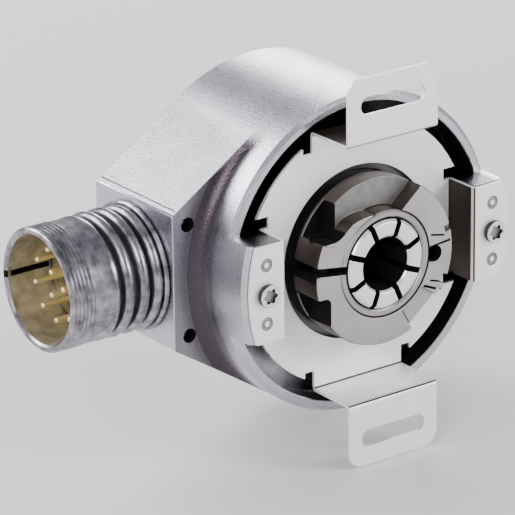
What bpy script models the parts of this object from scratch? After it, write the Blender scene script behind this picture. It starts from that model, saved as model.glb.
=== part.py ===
"""Rotary encoder: 60 mm body, blind hollow shaft with a front clamp, radial round connector.

Frame: the shaft axis is Y, the shaft side faces -Y, the connector points to -X, +Z is up.
The origin is on the shaft axis, in the plane of the coupling wings' front faces.
All sizes below are millimetres; angles are degrees, counter-clockwise from +X seen from -Y.
"""

from math import acos, asin, atan2, cos, degrees, hypot, pi, radians, sin

import bmesh
import bpy
from mathutils import Matrix, Vector

MM = 0.001

# Body
BODY_R = 30.0
RIM_INNER_R = 28.0
RIM_Y = 9.8
BOX_Y = 17.4
BACK_Y = 41.4
BOX_END_X = -35.5
BOX_HALF_Z = 12.7
BOX_HOLE_X = -32.3
BOX_HOLE_Z = 10.5
BOX_HOLE_R = 1.35
SHOULDER_Y = 15.4
SHOULDER_BACK_Y = 18.4
SHOULDER_R = 21.4
CAVITY_R = 27.2
CAVITY_END_X = -33.2
BOX_CAVITY_Y = 20.0
BOX_CAVITY_HALF_Z = 7.6
LEDGE_Y = 38.8
LEDGE_INSET = 1.2
FIT = 0.3
CLOSE_FIT = 0.15

# Lugs that carry the stator coupling
LUG_INNER_X = 22.0
LUG_FRONT_Y = 4.1
LUG_HALF_Z = 9.2
LUG_SCREW_X = 25.5

# Stator coupling
SHEET = 0.6
PLATE_Y = 10.4
PLATE_R = 25.0
PLATE_HOLE_R = 16.4
LEG_HALF_X = 10.0
LEG_Z = 24.2
WING_TIP_Z = 36.7
WING_CORNER_R = 3.0
SLOT_PITCH_Z = 31.5
SLOT_WIDTH = 3.2
SLOT_LENGTH = 14.3
TAB_Y = 3.3
SIDE_LEG_X = 21.8
SIDE_HALF_Z = 9.1
TAB_END_X = 28.9
RELIEF_WIDTH = 2.0
WING_RELIEF_Z = 20.8
SIDE_RELIEF_X = 19.8

# Rotor
SHAFT_R = 10.0
SHAFT_BORE_R = 8.65
SHAFT_Y = 2.3
SHAFT_FLOOR_Y = 25.0
SHAFT_END_Y = 35.0
COLLET_Y = 1.9
COLLET_END_Y = 23.9
COLLET_SLOT_END_Y = 18.0
COLLET_R = 8.35
BORE_R = 5.0
COLLET_SLOTS = 8
COLLET_SLOT_ANGLE = 23.5
COLLET_SLOT_WIDTH = 1.1
RING_Y = 2.2
RING_BACK_Y = 9.2
RING_R = 15.35
RING_BORE_R = 10.3
SPLIT_ANGLE = 171.0
SPLIT_OFFSET = 0.6
SPLIT_WIDTH = 1.5
RING_FLOOR_Y = 5.6
POCKET_FLOOR_Y = 8.6
POCKET_SIDE_X = -8.85
JAW_TOP_Z = 6.6
TIP_POCKET_X = -12.25
TIP_POCKET_Z = -3.6
HINGE_X = 11.2
HINGE_Z = -0.65
HINGE_R = 1.55
CLAMP_SCREW_X = -12.0
CLAMP_SCREW_Y = 5.6
CLAMP_HEAD_R = 1.9
CLAMP_HEAD_Z = 4.5
CLAMP_HEAD_HEIGHT = 1.7
CLAMP_SHANK_R = 1.15
CLAMP_TIP_Z = -3.9

# Bearings, 20 x 32 x 7
BEARING_BORE_R = 10.15
BEARING_R = 16.0
BEARING_WIDTH = 7.0
FRONT_BEARING_Y = 15.1
REAR_BEARING_Y = 24.1
INNER_RACE_R = 11.7
OUTER_RACE_R = 14.3
PITCH_R = 13.0
BALL_R = 1.6
GROOVE_R = 2.05
BALLS = 9

# Bearing flange
SEAT_R = 16.15
BOSS_R = 17.8
BOSS_Y = 12.0
BOSS_END_Y = 33.4
WEB_R = 27.0
WEB_Y = 18.7
WEB_BACK_Y = 21.7
RETAINER_Y = 31.45
RETAINER_BACK_Y = 32.15
FLANGE_SCREW_R = 25.2
FLANGE_SCREW_ANGLES = (30.0, 150.0, 270.0)

# Scanning unit
DISC_R = 21.8
DISC_Y = 34.1
DISC_THICKNESS = 0.6
TRACK_R = 19.9
TRACK_ANGLE = 15.0
BOARD_R = 25.6
BOARD_Y = 36.5
BOARD_BACK_Y = 38.0
BOARD_TONGUE_X = -29.0
BOARD_TONGUE_HALF_Z = 6.5
SPACER_ANGLES = (90.0, 210.0, 330.0)
SPACER_RING_R = 24.0
SPACER_R = 1.9

# Rear cover
COVER_Y = 39.5
COVER_BACK_Y = 41.2
REAR_BOSS_R = 24.3
REAR_BOSS_Y = 35.3
REAR_BOSS_ANGLES = (50.0, 125.0, -125.0, -50.0)

# Connector
CONNECTOR_Y = 29.9
FOOT_R = 11.9
RIB_R = 11.5
RIB_CRESTS = (2.1, 4.9, 8.1)
GROOVE_FLOOR_R = 10.2
SLEEVE_R = 11.25
SLEEVE_INNER_R = 10.0
CONNECTOR_LENGTH = 20.4
CONNECTOR_HOLE_R = 7.4
INSERT_FACE = 9.5
PIN_TIP = 17.0
PIN_R = 0.55

# Facets round a full turn
WIDE = 48
MEDIUM = 24
SMALL = 12
TINY = 8
SHARP_ANGLE = 35.0

HALF_TURN = pi / 2.0
ALONG_SHAFT = Matrix.Rotation(-HALF_TURN, 4, "X")
ALONG_CONNECTOR = (Matrix.Translation((BOX_END_X, CONNECTOR_Y, 0.0))
                   @ Matrix.Rotation(-HALF_TURN, 4, "Y"))


# ---------------------------------------------------------------- scene and materials

def clear_scene():
    for obj in list(bpy.data.objects):
        bpy.data.objects.remove(obj, do_unlink=True)


def material(name, colour, roughness, metallic):
    """A Principled BSDF of one colour, made once."""
    found = bpy.data.materials.get(name)
    if found:
        return found
    made = bpy.data.materials.new(name)
    made.use_nodes = True
    shader = made.node_tree.nodes["Principled BSDF"]
    shader.inputs["Base Color"].default_value = (*colour, 1.0)
    shader.inputs["Roughness"].default_value = roughness
    shader.inputs["Metallic"].default_value = metallic
    return made


def cast_aluminium():
    return material("cast_aluminium", (0.62, 0.61, 0.65), 0.38, 1.0)


def machined_aluminium():
    return material("machined_aluminium", (0.66, 0.65, 0.68), 0.3, 1.0)


def spring_steel():
    return material("spring_steel", (0.82, 0.82, 0.8), 0.28, 1.0)


def sintered_steel():
    return material("sintered_steel", (0.56, 0.54, 0.56), 0.36, 1.0)


def bright_steel():
    return material("bright_steel", (0.8, 0.8, 0.82), 0.18, 1.0)


def nickel():
    return material("nickel_plated_brass", (0.62, 0.6, 0.58), 0.25, 1.0)


def gold():
    return material("gold_plated_contact", (0.83, 0.62, 0.24), 0.22, 1.0)


def insert_plastic():
    return material("insert_plastic", (0.36, 0.33, 0.17), 0.5, 0.0)


def black_rubber():
    return material("black_rubber", (0.015, 0.015, 0.016), 0.7, 0.0)


def dark_plastic():
    return material("dark_plastic", (0.03, 0.03, 0.033), 0.45, 0.0)


def board_green():
    return material("circuit_board", (0.02, 0.16, 0.07), 0.4, 0.0)


def disc_glass():
    return material("disc_glass", (0.55, 0.6, 0.6), 0.08, 0.0)


# ---------------------------------------------------------------- outlines and solids

def arc(radius, start, end, steps, centre=(0.0, 0.0)):
    """Points on an arc from start to end, both included."""
    points = []
    for i in range(steps + 1):
        angle = radians(start + (end - start) * i / steps)
        points.append((centre[0] + radius * cos(angle), centre[1] + radius * sin(angle)))
    return points


def polar(radius, angle):
    return radius * cos(radians(angle)), radius * sin(radians(angle))


def rectangle(u0, u1, v0, v1):
    return [(u0, v0), (u1, v0), (u1, v1), (u0, v1)]


def flank_angle():
    """Direction of the contact point where a flat flank meets the round body."""
    corner = degrees(atan2(BOX_HALF_Z, BOX_END_X))
    return corner - degrees(acos(BODY_R / hypot(BOX_END_X, BOX_HALF_Z)))


def flank_height(x, inset):
    """Half height of the flank at x, for an outline moved inwards by inset."""
    normal = radians(flank_angle())
    return (BODY_R - inset - cos(normal) * x) / sin(normal)


def teardrop(inset):
    """The body's outline: a circle with two tangent flanks that end at the connector face."""
    end_x = BOX_END_X + inset
    end_z = flank_height(end_x, inset)
    points = arc(BODY_R - inset, -flank_angle(), flank_angle(), 36)
    return points + [(end_x, end_z), (end_x, -end_z)]


def lift(axis, u, v, along):
    """A point from two outline coordinates and one along the axis of extrusion."""
    if axis == "X":
        return Vector((along, u, v))
    if axis == "Y":
        return Vector((u, along, v))
    return Vector((u, v, along))


def prism(outline, axis, start, end):
    """An outline extruded along X (outline in y, z), Y (x, z) or Z (x, y)."""
    bm = bmesh.new()
    corners = [bm.verts.new(lift(axis, u, v, start)) for u, v in outline]
    grown = bmesh.ops.extrude_face_region(bm, geom=[bm.faces.new(corners)])
    moved = [item for item in grown["geom"] if isinstance(item, bmesh.types.BMVert)]
    bmesh.ops.translate(bm, verts=moved, vec=lift(axis, 0.0, 0.0, end - start))
    bmesh.ops.recalc_face_normals(bm, faces=bm.faces)
    return bm


def turned(profile, steps, placement=ALONG_SHAFT):
    """A profile of (radius, distance along the axis) spun round; it may start and end on the axis."""
    bm = bmesh.new()
    verts = [bm.verts.new((radius, 0.0, along)) for radius, along in profile]
    edges = [bm.edges.new(pair) for pair in zip(verts, verts[1:])]
    if profile[0][0] > 0.0:
        edges.append(bm.edges.new((verts[-1], verts[0])))
    bmesh.ops.spin(bm, geom=verts + edges, cent=(0.0, 0.0, 0.0), axis=(0.0, 0.0, 1.0),
                   dvec=(0.0, 0.0, 0.0), angle=2.0 * pi, steps=steps, use_merge=True,
                   use_duplicate=False)
    bmesh.ops.remove_doubles(bm, verts=bm.verts, dist=0.0005)
    bmesh.ops.transform(bm, matrix=placement, verts=bm.verts)
    bmesh.ops.recalc_face_normals(bm, faces=bm.faces)
    return bm


def ring(inner, outer, start, end):
    """Profile of a plain ring."""
    return [(inner, start), (outer, start), (outer, end), (inner, end)]


def rod(radius, start, end):
    """Profile of a plain solid cylinder."""
    return [(0.0, start), (radius, start), (radius, end), (0.0, end)]


def pan_screw(head_r, head_depth, shank_r, start, end):
    """Profile of a screw whose head starts at start, with a shallow drive recess."""
    side = 1.0 if end > start else -1.0
    recess_r = head_r * 0.45
    recess = start + side * head_depth * 0.5
    under = start + side * head_depth
    return [(0.0, recess), (recess_r, recess), (recess_r, start), (head_r * 0.8, start),
            (head_r, start + side * head_depth * 0.35), (head_r, under), (shank_r, under),
            (shank_r, end), (0.0, end)]


def place(x, z):
    """Axis parallel to the shaft, through x and z."""
    return Matrix.Translation((x, 0.0, z)) @ ALONG_SHAFT


def to_object(name, bm):
    """A new object whose mesh is the bmesh, changed from millimetres to metres."""
    bmesh.ops.scale(bm, vec=(MM, MM, MM), verts=bm.verts)
    mesh = bpy.data.meshes.new(name)
    bm.to_mesh(mesh)
    bm.free()
    obj = bpy.data.objects.new(name, mesh)
    bpy.context.scene.collection.objects.link(obj)
    return obj


def piece(name, bm, mat, parent):
    """One sub-part, smooth where it is round."""
    obj = to_object(name, bm)
    obj.data.materials.append(mat)
    obj.data.shade_smooth()
    obj.data.set_sharp_from_angle(angle=radians(SHARP_ANGLE))
    obj.parent = parent
    return obj


def guide(name, bm):
    """A hidden shape that only cuts or adds to another."""
    obj = to_object("guide_" + name, bm)
    obj.hide_render = True
    obj.display_type = "WIRE"
    return obj


def combine(obj, operation, *shapes):
    """Add the shapes to the object or take them away, all in one step."""
    guides = bpy.data.collections.new("guides_" + obj.name)
    bpy.context.scene.collection.children.link(guides)
    for shape in shapes:
        guides.objects.link(guide(obj.name, shape) if isinstance(shape, bmesh.types.BMesh) else shape)
    step = obj.modifiers.new(operation.lower(), "BOOLEAN")
    step.operation = operation
    step.solver = "EXACT"
    step.operand_type = "COLLECTION"
    step.collection = guides


def add(obj, *shapes):
    combine(obj, "UNION", *shapes)


def cut(obj, *shapes):
    combine(obj, "DIFFERENCE", *shapes)


def axis_empty(name, parent=None):
    """A parent that sits on the shaft axis, for one moving body."""
    empty = bpy.data.objects.new(name, None)
    empty.parent = parent
    bpy.context.scene.collection.objects.link(empty)
    return empty


# ---------------------------------------------------------------- casing

def box_front():
    """What lies outside the round body in front of the box, on the connector side."""
    touch = flank_angle()
    outline = arc(BODY_R, touch, 360.0 - touch, 16)
    far_x, far_z = polar(BODY_R * 1.5, touch)
    return outline + [(far_x, -far_z), (BOX_END_X - 5.0, -far_z), (BOX_END_X - 5.0, far_z),
                      (far_x, far_z)]


def recess():
    """The front recess inside the rim, which stops short of the two lugs."""
    lug_angle = degrees(asin(LUG_HALF_Z / RIM_INNER_R))
    upper = [(LUG_INNER_X, LUG_HALF_Z)] + arc(RIM_INNER_R, lug_angle, 180.0 - lug_angle, 20)
    upper.append((-LUG_INNER_X, LUG_HALF_Z))
    return upper + [(x, -z) for x, z in reversed(upper)]


def box_cavity():
    """Outline of the hollow behind the connector face, with solid corners for the screws."""
    step_x = CAVITY_END_X + 4.0
    inset = BODY_R - CAVITY_R + 0.4
    touch_x, touch_z = polar(BODY_R - inset, flank_angle())
    upper = [(CAVITY_END_X, BOX_CAVITY_HALF_Z), (step_x, BOX_CAVITY_HALF_Z),
             (step_x, flank_height(step_x, inset)), (touch_x, touch_z), (-8.0, 20.0)]
    return upper + [(x, -z) for x, z in reversed(upper)]


def cover_screw_lines():
    return [place(*polar(REAR_BOSS_R, angle)) for angle in REAR_BOSS_ANGLES]


def housing(parent):
    front = LUG_FRONT_Y - 1.0
    body = piece("housing", prism(teardrop(0.0), "Y", LUG_FRONT_Y, BACK_Y), cast_aluminium(), parent)
    bosses = cover_screw_lines()
    cavity = guide("cavity", turned(rod(CAVITY_R, SHOULDER_BACK_Y, LEDGE_Y + 1.0), WIDE))
    cut(cavity, *[turned(rod(3.2, REAR_BOSS_Y, LEDGE_Y - 0.3), SMALL, line) for line in bosses])
    cutters = [prism(box_front(), "Y", front, BOX_Y),
               prism(rectangle(-40.0, 40.0, LUG_HALF_Z, 40.0), "Y", front, RIM_Y),
               prism(rectangle(-40.0, 40.0, -40.0, -LUG_HALF_Z), "Y", front, RIM_Y),
               prism(recess(), "Y", front, SHOULDER_Y),
               turned(rod(SHOULDER_R, SHOULDER_Y - 1.0, SHOULDER_BACK_Y + 1.0), WIDE),
               cavity,
               prism(box_cavity(), "Y", BOX_CAVITY_Y, LEDGE_Y + 1.0),
               prism(teardrop(LEDGE_INSET), "Y", LEDGE_Y, BACK_Y + 1.0),
               turned(rod(CONNECTOR_HOLE_R, -4.0, 1.0), MEDIUM, ALONG_CONNECTOR)]
    for side in (-1.0, 1.0):
        cutters.append(turned(rod(1.35, front, LUG_FRONT_Y + 8.0), TINY,
                              place(side * LUG_SCREW_X, 0.0)))
        cutters.append(turned(rod(BOX_HOLE_R, front, LEDGE_Y + 1.0), SMALL,
                              place(BOX_HOLE_X, side * BOX_HOLE_Z)))
    for angle in FLANGE_SCREW_ANGLES:
        cutters.append(turned(rod(1.3, SHOULDER_Y + 0.6, SHOULDER_BACK_Y + 1.0), TINY,
                              place(*polar(FLANGE_SCREW_R, angle))))
    cutters += [turned(rod(1.3, REAR_BOSS_Y + 0.8, LEDGE_Y + 1.0), TINY, line) for line in bosses]
    cut(body, *cutters)


def rear_cover(parent):
    cover = piece("rear_cover", prism(teardrop(LEDGE_INSET + FIT), "Y", COVER_Y, COVER_BACK_Y),
                  cast_aluminium(), parent)
    sink = [(0.0, COVER_Y - 1.0), (1.5, COVER_Y - 1.0), (1.5, COVER_Y + 0.3),
            (2.75, COVER_BACK_Y), (2.75, COVER_BACK_Y + 1.0), (0.0, COVER_BACK_Y + 1.0)]
    cut(cover, *[turned(sink, SMALL, line) for line in cover_screw_lines()])


def cover_seal(parent):
    seal = piece("cover_seal", prism(teardrop(LEDGE_INSET + CLOSE_FIT), "Y", LEDGE_Y + 0.1,
                                     COVER_Y - 0.1), black_rubber(), parent)
    cut(seal, prism(teardrop(LEDGE_INSET + 0.65), "Y", LEDGE_Y - 1.0, COVER_Y + 1.0))


def casing_screws(parent):
    """Countersunk screws of the rear cover, and the set screws that lock the connector."""
    top = COVER_BACK_Y - 0.1
    tip = REAR_BOSS_Y + 1.2
    profile = [(0.0, top - 0.6), (0.9, top - 0.6), (0.9, top), (2.4, top),
               (1.05, COVER_Y + 0.25), (1.05, tip), (0.0, tip)]
    for number, line in enumerate(cover_screw_lines(), start=1):
        piece("cover_screw_%d" % number, turned(profile, TINY, line), bright_steel(), parent)
    front = BOX_Y + 2.2
    profile = [(0.0, front + 1.0), (0.6, front + 1.0), (0.6, front), (1.05, front),
               (1.05, front + 7.0), (0.0, front + 7.0)]
    for name, side in (("lock_screw_upper", 1.0), ("lock_screw_lower", -1.0)):
        piece(name, turned(profile, TINY, place(BOX_HOLE_X, side * BOX_HOLE_Z)), bright_steel(), parent)


# ---------------------------------------------------------------- stator coupling

def coupling_plate():
    """Ring plate outline: a disc cut off at the side legs, with two straps for the wing legs."""
    side_top = SIDE_HALF_Z + RELIEF_WIDTH
    strap_side = LEG_HALF_X + RELIEF_WIDTH
    side_angle = degrees(asin(side_top / PLATE_R))
    strap_angle = degrees(acos(strap_side / PLATE_R))
    quarter = [(SIDE_LEG_X, 0.0), (SIDE_LEG_X, SIDE_HALF_Z), (SIDE_RELIEF_X, SIDE_HALF_Z),
               (SIDE_RELIEF_X, side_top)]
    quarter += arc(PLATE_R, side_angle, strap_angle, 8)
    quarter += [(strap_side, WING_RELIEF_Z), (LEG_HALF_X, WING_RELIEF_Z),
                (LEG_HALF_X, LEG_Z + SHEET)]
    upper = quarter + [(-x, z) for x, z in reversed(quarter)]
    return upper + [(x, -z) for x, z in reversed(upper) if z > 0.0]


def wing(side):
    """One wing leg and its wing: an angle section along X."""
    top = LEG_Z + SHEET
    section = [(PLATE_Y + SHEET, LEG_Z), (PLATE_Y + SHEET, top), (SHEET, top), (SHEET, WING_TIP_Z),
               (0.0, WING_TIP_Z), (0.0, LEG_Z)]
    return prism([(y, side * z) for y, z in section], "X", -LEG_HALF_X, LEG_HALF_X)


def wing_corner(side_x, side_z):
    """What is cut off to round one corner of a wing."""
    corner_x = LEG_HALF_X - WING_CORNER_R
    corner_z = WING_TIP_Z - WING_CORNER_R
    outline = arc(WING_CORNER_R, 0.0, 90.0, 5, (corner_x, corner_z))
    outline += [(LEG_HALF_X - WING_CORNER_R, WING_TIP_Z + 1.0),
                (LEG_HALF_X + 1.0, WING_TIP_Z + 1.0), (LEG_HALF_X + 1.0, corner_z)]
    return prism([(side_x * x, side_z * z) for x, z in outline], "Y", -1.0, SHEET + 1.0)


def wing_slot(side):
    reach = (SLOT_LENGTH - SLOT_WIDTH) / 2.0
    centre_z = side * SLOT_PITCH_Z
    outline = arc(SLOT_WIDTH / 2.0, -90.0, 90.0, 6, (reach, centre_z))
    outline += arc(SLOT_WIDTH / 2.0, 90.0, 270.0, 6, (-reach, centre_z))
    return prism(outline, "Y", -1.0, SHEET + 1.0)


def side_leg(side):
    """One side leg and its tab: an angle section along Z."""
    outer = SIDE_LEG_X
    section = [(outer - SHEET, PLATE_Y + SHEET), (outer, PLATE_Y + SHEET), (outer, TAB_Y + SHEET),
               (TAB_END_X, TAB_Y + SHEET), (TAB_END_X, TAB_Y), (outer - SHEET, TAB_Y)]
    return prism([(side * x, y) for x, y in section], "Z", -SIDE_HALF_Z, SIDE_HALF_Z)


def stator_coupling(parent):
    sheet = piece("stator_coupling", prism(coupling_plate(), "Y", PLATE_Y, PLATE_Y + SHEET),
                  spring_steel(), parent)
    parts = []
    cutters = [turned(rod(PLATE_HOLE_R, PLATE_Y - 1.0, PLATE_Y + 2.0), WIDE)]
    for side in (-1.0, 1.0):
        parts += [wing(side), side_leg(side)]
        cutters += [wing_slot(side), wing_corner(1.0, side), wing_corner(-1.0, side),
                    turned(rod(1.6, TAB_Y - 1.0, TAB_Y + 2.0), SMALL,
                           place(side * LUG_SCREW_X, 0.0))]
    add(sheet, *parts)
    cut(sheet, *cutters)


def coupling_screws(parent):
    for name, side in (("coupling_screw_left", -1.0), ("coupling_screw_right", 1.0)):
        profile = pan_screw(2.1, 1.1, 1.15, TAB_Y - 1.2, LUG_FRONT_Y + 6.5)
        piece(name, turned(profile, SMALL, place(side * LUG_SCREW_X, 0.0)), bright_steel(), parent)


# ---------------------------------------------------------------- bearing flange and bearings

def bearing_flange(parent):
    profile = [(15.1, BOSS_Y), (BOSS_R, BOSS_Y), (BOSS_R, WEB_Y), (WEB_R, WEB_Y),
               (WEB_R, WEB_BACK_Y), (BOSS_R, WEB_BACK_Y), (BOSS_R, BOSS_END_Y),
               (SEAT_R, BOSS_END_Y), (SEAT_R, RETAINER_BACK_Y + CLOSE_FIT),
               (SEAT_R + 0.75, RETAINER_BACK_Y + CLOSE_FIT), (SEAT_R + 0.75, RETAINER_Y - CLOSE_FIT),
               (SEAT_R, RETAINER_Y - CLOSE_FIT), (SEAT_R, FRONT_BEARING_Y - 0.1),
               (14.2, FRONT_BEARING_Y - 0.1), (14.2, FRONT_BEARING_Y - 0.5),
               (15.1, FRONT_BEARING_Y - 0.5)]
    flange = piece("bearing_flange", turned(profile, 32), machined_aluminium(), parent)
    cut(flange, *[turned(rod(1.5, WEB_Y - 1.0, WEB_BACK_Y + 1.0), TINY,
                         place(*polar(FLANGE_SCREW_R, angle))) for angle in FLANGE_SCREW_ANGLES])


def flange_screws(parent):
    for number, angle in enumerate(FLANGE_SCREW_ANGLES, start=1):
        profile = pan_screw(1.9, 1.3, 1.05, WEB_BACK_Y + 1.5, SHOULDER_Y + 1.0)
        piece("flange_screw_%d" % number, turned(profile, TINY, place(*polar(FLANGE_SCREW_R, angle))),
              bright_steel(), parent)


def groove(edge_r, middle, side):
    """Three points of a ball groove in a race, from the low end of the axis to the high end."""
    reach = (GROOVE_R ** 2 - (edge_r - PITCH_R) ** 2) ** 0.5
    return [(edge_r, middle - reach), (PITCH_R + side * GROOVE_R, middle), (edge_r, middle + reach)]


def races(prefix, start, stator, rotor):
    end = start + BEARING_WIDTH
    middle = start + BEARING_WIDTH / 2.0
    outer = [(OUTER_RACE_R, start), (BEARING_R, start), (BEARING_R, end), (OUTER_RACE_R, end)]
    outer += list(reversed(groove(OUTER_RACE_R, middle, 1.0)))
    inner = [(INNER_RACE_R, end), (BEARING_BORE_R, end), (BEARING_BORE_R, start),
             (INNER_RACE_R, start)]
    inner += groove(INNER_RACE_R, middle, -1.0)
    piece(prefix + "_outer_race", turned(outer, MEDIUM), bright_steel(), stator)
    piece(prefix + "_inner_race", turned(inner, MEDIUM), bright_steel(), rotor)


def ball(angle, middle):
    x, z = polar(PITCH_R, angle)
    bm = bmesh.new()
    bmesh.ops.create_uvsphere(bm, u_segments=6, v_segments=4, radius=BALL_R)
    bmesh.ops.translate(bm, verts=bm.verts, vec=(x, middle, z))
    return bm


def ball_cage(name, start, parent):
    """The balls and the cage that spaces them, which travel round together."""
    middle = start + BEARING_WIDTH / 2.0
    cage = piece(name, turned(ring(PITCH_R - 0.5, PITCH_R + 0.5, middle - 0.9, middle + 0.9), MEDIUM),
                 bright_steel(), parent)
    add(cage, *[ball(360.0 * i / BALLS, middle) for i in range(BALLS)])


def wave_spring(parent):
    """Thin ring between the outer races, bent into three waves."""
    lowest = FRONT_BEARING_Y + BEARING_WIDTH + 0.2
    highest = REAR_BEARING_Y - 0.2
    thickness = 0.35
    height = (highest - lowest - thickness) / 2.0
    middle = (lowest + highest) / 2.0
    profile = ring(14.6, 15.9, middle - thickness / 2.0, middle + thickness / 2.0)
    bm = turned(profile, 24)
    for vert in bm.verts:
        vert.co.y += height * cos(3.0 * atan2(vert.co.z, vert.co.x))
    piece("wave_spring", bm, bright_steel(), parent)


def small_turned_parts(stator, rotor):
    """Plain rings round the shaft."""
    piece("shaft_seal", turned(ring(SHAFT_R + FIT, 14.9, BOSS_Y + 0.2, FRONT_BEARING_Y - 0.7), MEDIUM),
          black_rubber(), stator)
    spacer = ring(BEARING_BORE_R, INNER_RACE_R - 0.1, FRONT_BEARING_Y + BEARING_WIDTH + CLOSE_FIT,
                  REAR_BEARING_Y - CLOSE_FIT)
    piece("inner_race_spacer", turned(spacer, MEDIUM), machined_aluminium(), rotor)
    clip = piece("retaining_ring", turned(ring(14.4, SEAT_R + 0.55, RETAINER_Y, RETAINER_BACK_Y),
                                          MEDIUM), bright_steel(), stator)
    cut(clip, prism(rectangle(-2.5, 2.5, -18.0, -13.0), "Y", RETAINER_Y - 1.0, RETAINER_BACK_Y + 1.0))


# ---------------------------------------------------------------- rotor

def radial_slot(angle, width, inner, outer, start, end, offset=0.0):
    """A cutter that points outwards from the shaft axis, or passes it at a small offset."""
    bm = prism(rectangle(inner, outer, offset - width / 2.0, offset + width / 2.0), "Y", start, end)
    turn = Matrix.Rotation(-radians(angle), 4, "Y")
    bmesh.ops.transform(bm, matrix=turn, verts=bm.verts)
    return bm


def hollow_shaft(parent):
    profile = [(SHAFT_BORE_R, SHAFT_Y), (SHAFT_R, SHAFT_Y), (SHAFT_R, SHAFT_END_Y),
               (7.0, SHAFT_END_Y), (7.0, SHAFT_FLOOR_Y + 2.5), (0.0, SHAFT_FLOOR_Y + 2.5)]
    bore = [(0.0, SHAFT_FLOOR_Y), (SHAFT_BORE_R, SHAFT_FLOOR_Y)]
    shaft = piece("hollow_shaft", turned(bore + profile, MEDIUM), bright_steel(), parent)
    cut(shaft, radial_slot(SPLIT_ANGLE, SPLIT_WIDTH, 7.5, 11.0, SHAFT_Y - 1.0, RING_BACK_Y + 1.0,
                           SPLIT_OFFSET))


def collet(parent):
    profile = [(BORE_R + 0.4, COLLET_Y), (COLLET_R - 0.5, COLLET_Y), (COLLET_R, COLLET_Y + 0.6),
               (COLLET_R, COLLET_END_Y), (BORE_R, COLLET_END_Y), (BORE_R, COLLET_Y + 0.5)]
    sleeve = piece("collet", turned(profile, MEDIUM), bright_steel(), parent)
    slot_angles = [COLLET_SLOT_ANGLE + 360.0 * i / COLLET_SLOTS for i in range(COLLET_SLOTS)]
    cut(sleeve, *[radial_slot(angle, COLLET_SLOT_WIDTH, BORE_R - 1.0, COLLET_R + 1.0,
                              COLLET_Y - 1.0, COLLET_SLOT_END_Y) for angle in slot_angles])


def sector(inner, outer, start, end):
    """Outline between two radii and two angles."""
    steps = max(2, int(abs(end - start) / 9.0))
    return arc(outer, start, end, steps) + arc(inner, end, start, steps)


def jaw_top():
    """The upper jaw's top edge, from outside the ring inwards, which sweeps up round the shaft."""
    fillet_r = 4.0
    collar_r = 11.9
    centre_z = JAW_TOP_Z + fillet_r
    centre_x = -((collar_r + fillet_r) ** 2 - centre_z ** 2) ** 0.5
    turn = degrees(atan2(-centre_z, -centre_x))
    sweep = arc(fillet_r, -90.0, turn, 4, (centre_x, centre_z))
    collar = [polar(11.4, 125.0), polar(10.95, 112.0), polar(9.5, 112.0)]
    return [(-17.0, JAW_TOP_Z)] + sweep + collar


def crescent():
    """Outline of the shallow front recess, from its end wall round to the key pocket."""
    end_wall = [(3.1, 8.9), (11.6, 16.1)]
    outer = arc(18.0, 60.0, 115.0, 6) + [(POCKET_SIDE_X - 1.0, 16.0)]
    inner = [point for point in jaw_top() if point[0] > POCKET_SIDE_X - 1.0]
    return end_wall + outer + [(POCKET_SIDE_X - 1.0, inner[0][1])] + inner + arc(9.5, 105.0, 75.0, 3)


def clamp_ring(parent):
    hub = piece("clamp_ring", turned(ring(RING_BORE_R, RING_R, RING_Y, RING_BACK_Y), WIDE),
                sintered_steel(), parent)
    front = RING_Y - 1.0
    key_pocket = [point for point in jaw_top() if point[0] < POCKET_SIDE_X]
    key_pocket += [(POCKET_SIDE_X, key_pocket[-1][1] + 0.3), (POCKET_SIDE_X, 18.0), (-17.0, 18.0)]
    tip_pocket = [(TIP_POCKET_X, TIP_POCKET_Z - 1.2), (TIP_POCKET_X, -11.5), (-17.0, -11.5),
                  (-17.0, TIP_POCKET_Z), (TIP_POCKET_X - 1.2, TIP_POCKET_Z)]
    screw_path = Matrix.Translation((CLAMP_SCREW_X, CLAMP_SCREW_Y, 0.0))
    cut(hub,
        prism(crescent(), "Y", front, RING_FLOOR_Y),
        prism(key_pocket, "Y", front, POCKET_FLOOR_Y),
        prism(tip_pocket, "Y", front, POCKET_FLOOR_Y),
        prism(sector(9.5, 17.0, -69.2, -35.4), "Y", front, RING_Y + 0.7),
        radial_slot(SPLIT_ANGLE, SPLIT_WIDTH, 9.0, 18.0, front, RING_BACK_Y + 1.0, SPLIT_OFFSET),
        turned(rod(HINGE_R, front, RING_BACK_Y + 1.0), SMALL, place(HINGE_X, HINGE_Z)),
        radial_slot(-5.5, 1.2, 9.0, HINGE_X - 0.6, front, RING_BACK_Y + 1.0),
        turned(rod(CLAMP_HEAD_R + 0.15, CLAMP_HEAD_Z - 0.1, JAW_TOP_Z + 1.0), SMALL, screw_path),
        turned(rod(CLAMP_SHANK_R + 0.25, CLAMP_TIP_Z - 0.7, JAW_TOP_Z), SMALL, screw_path))


def clamp_screw(parent):
    top = CLAMP_HEAD_Z + CLAMP_HEAD_HEIGHT
    profile = [(0.0, top - 1.0), (1.0, top - 1.0), (1.0, top), (CLAMP_HEAD_R, top),
               (CLAMP_HEAD_R, CLAMP_HEAD_Z), (CLAMP_SHANK_R, CLAMP_HEAD_Z),
               (CLAMP_SHANK_R, CLAMP_TIP_Z), (0.0, CLAMP_TIP_Z)]
    line = Matrix.Translation((CLAMP_SCREW_X, CLAMP_SCREW_Y, 0.0))
    piece("clamp_screw", turned(profile, SMALL, line), bright_steel(), parent)


def disc_and_hub(parent):
    piece("disc_hub", turned(ring(BEARING_BORE_R, 13.4, REAR_BEARING_Y + BEARING_WIDTH + FIT,
                                  DISC_Y - 0.2), MEDIUM), machined_aluminium(), parent)
    piece("code_disc", turned(ring(SHAFT_R + FIT, DISC_R, DISC_Y, DISC_Y + DISC_THICKNESS), WIDE),
          disc_glass(), parent)


# ---------------------------------------------------------------- scanning unit

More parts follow.
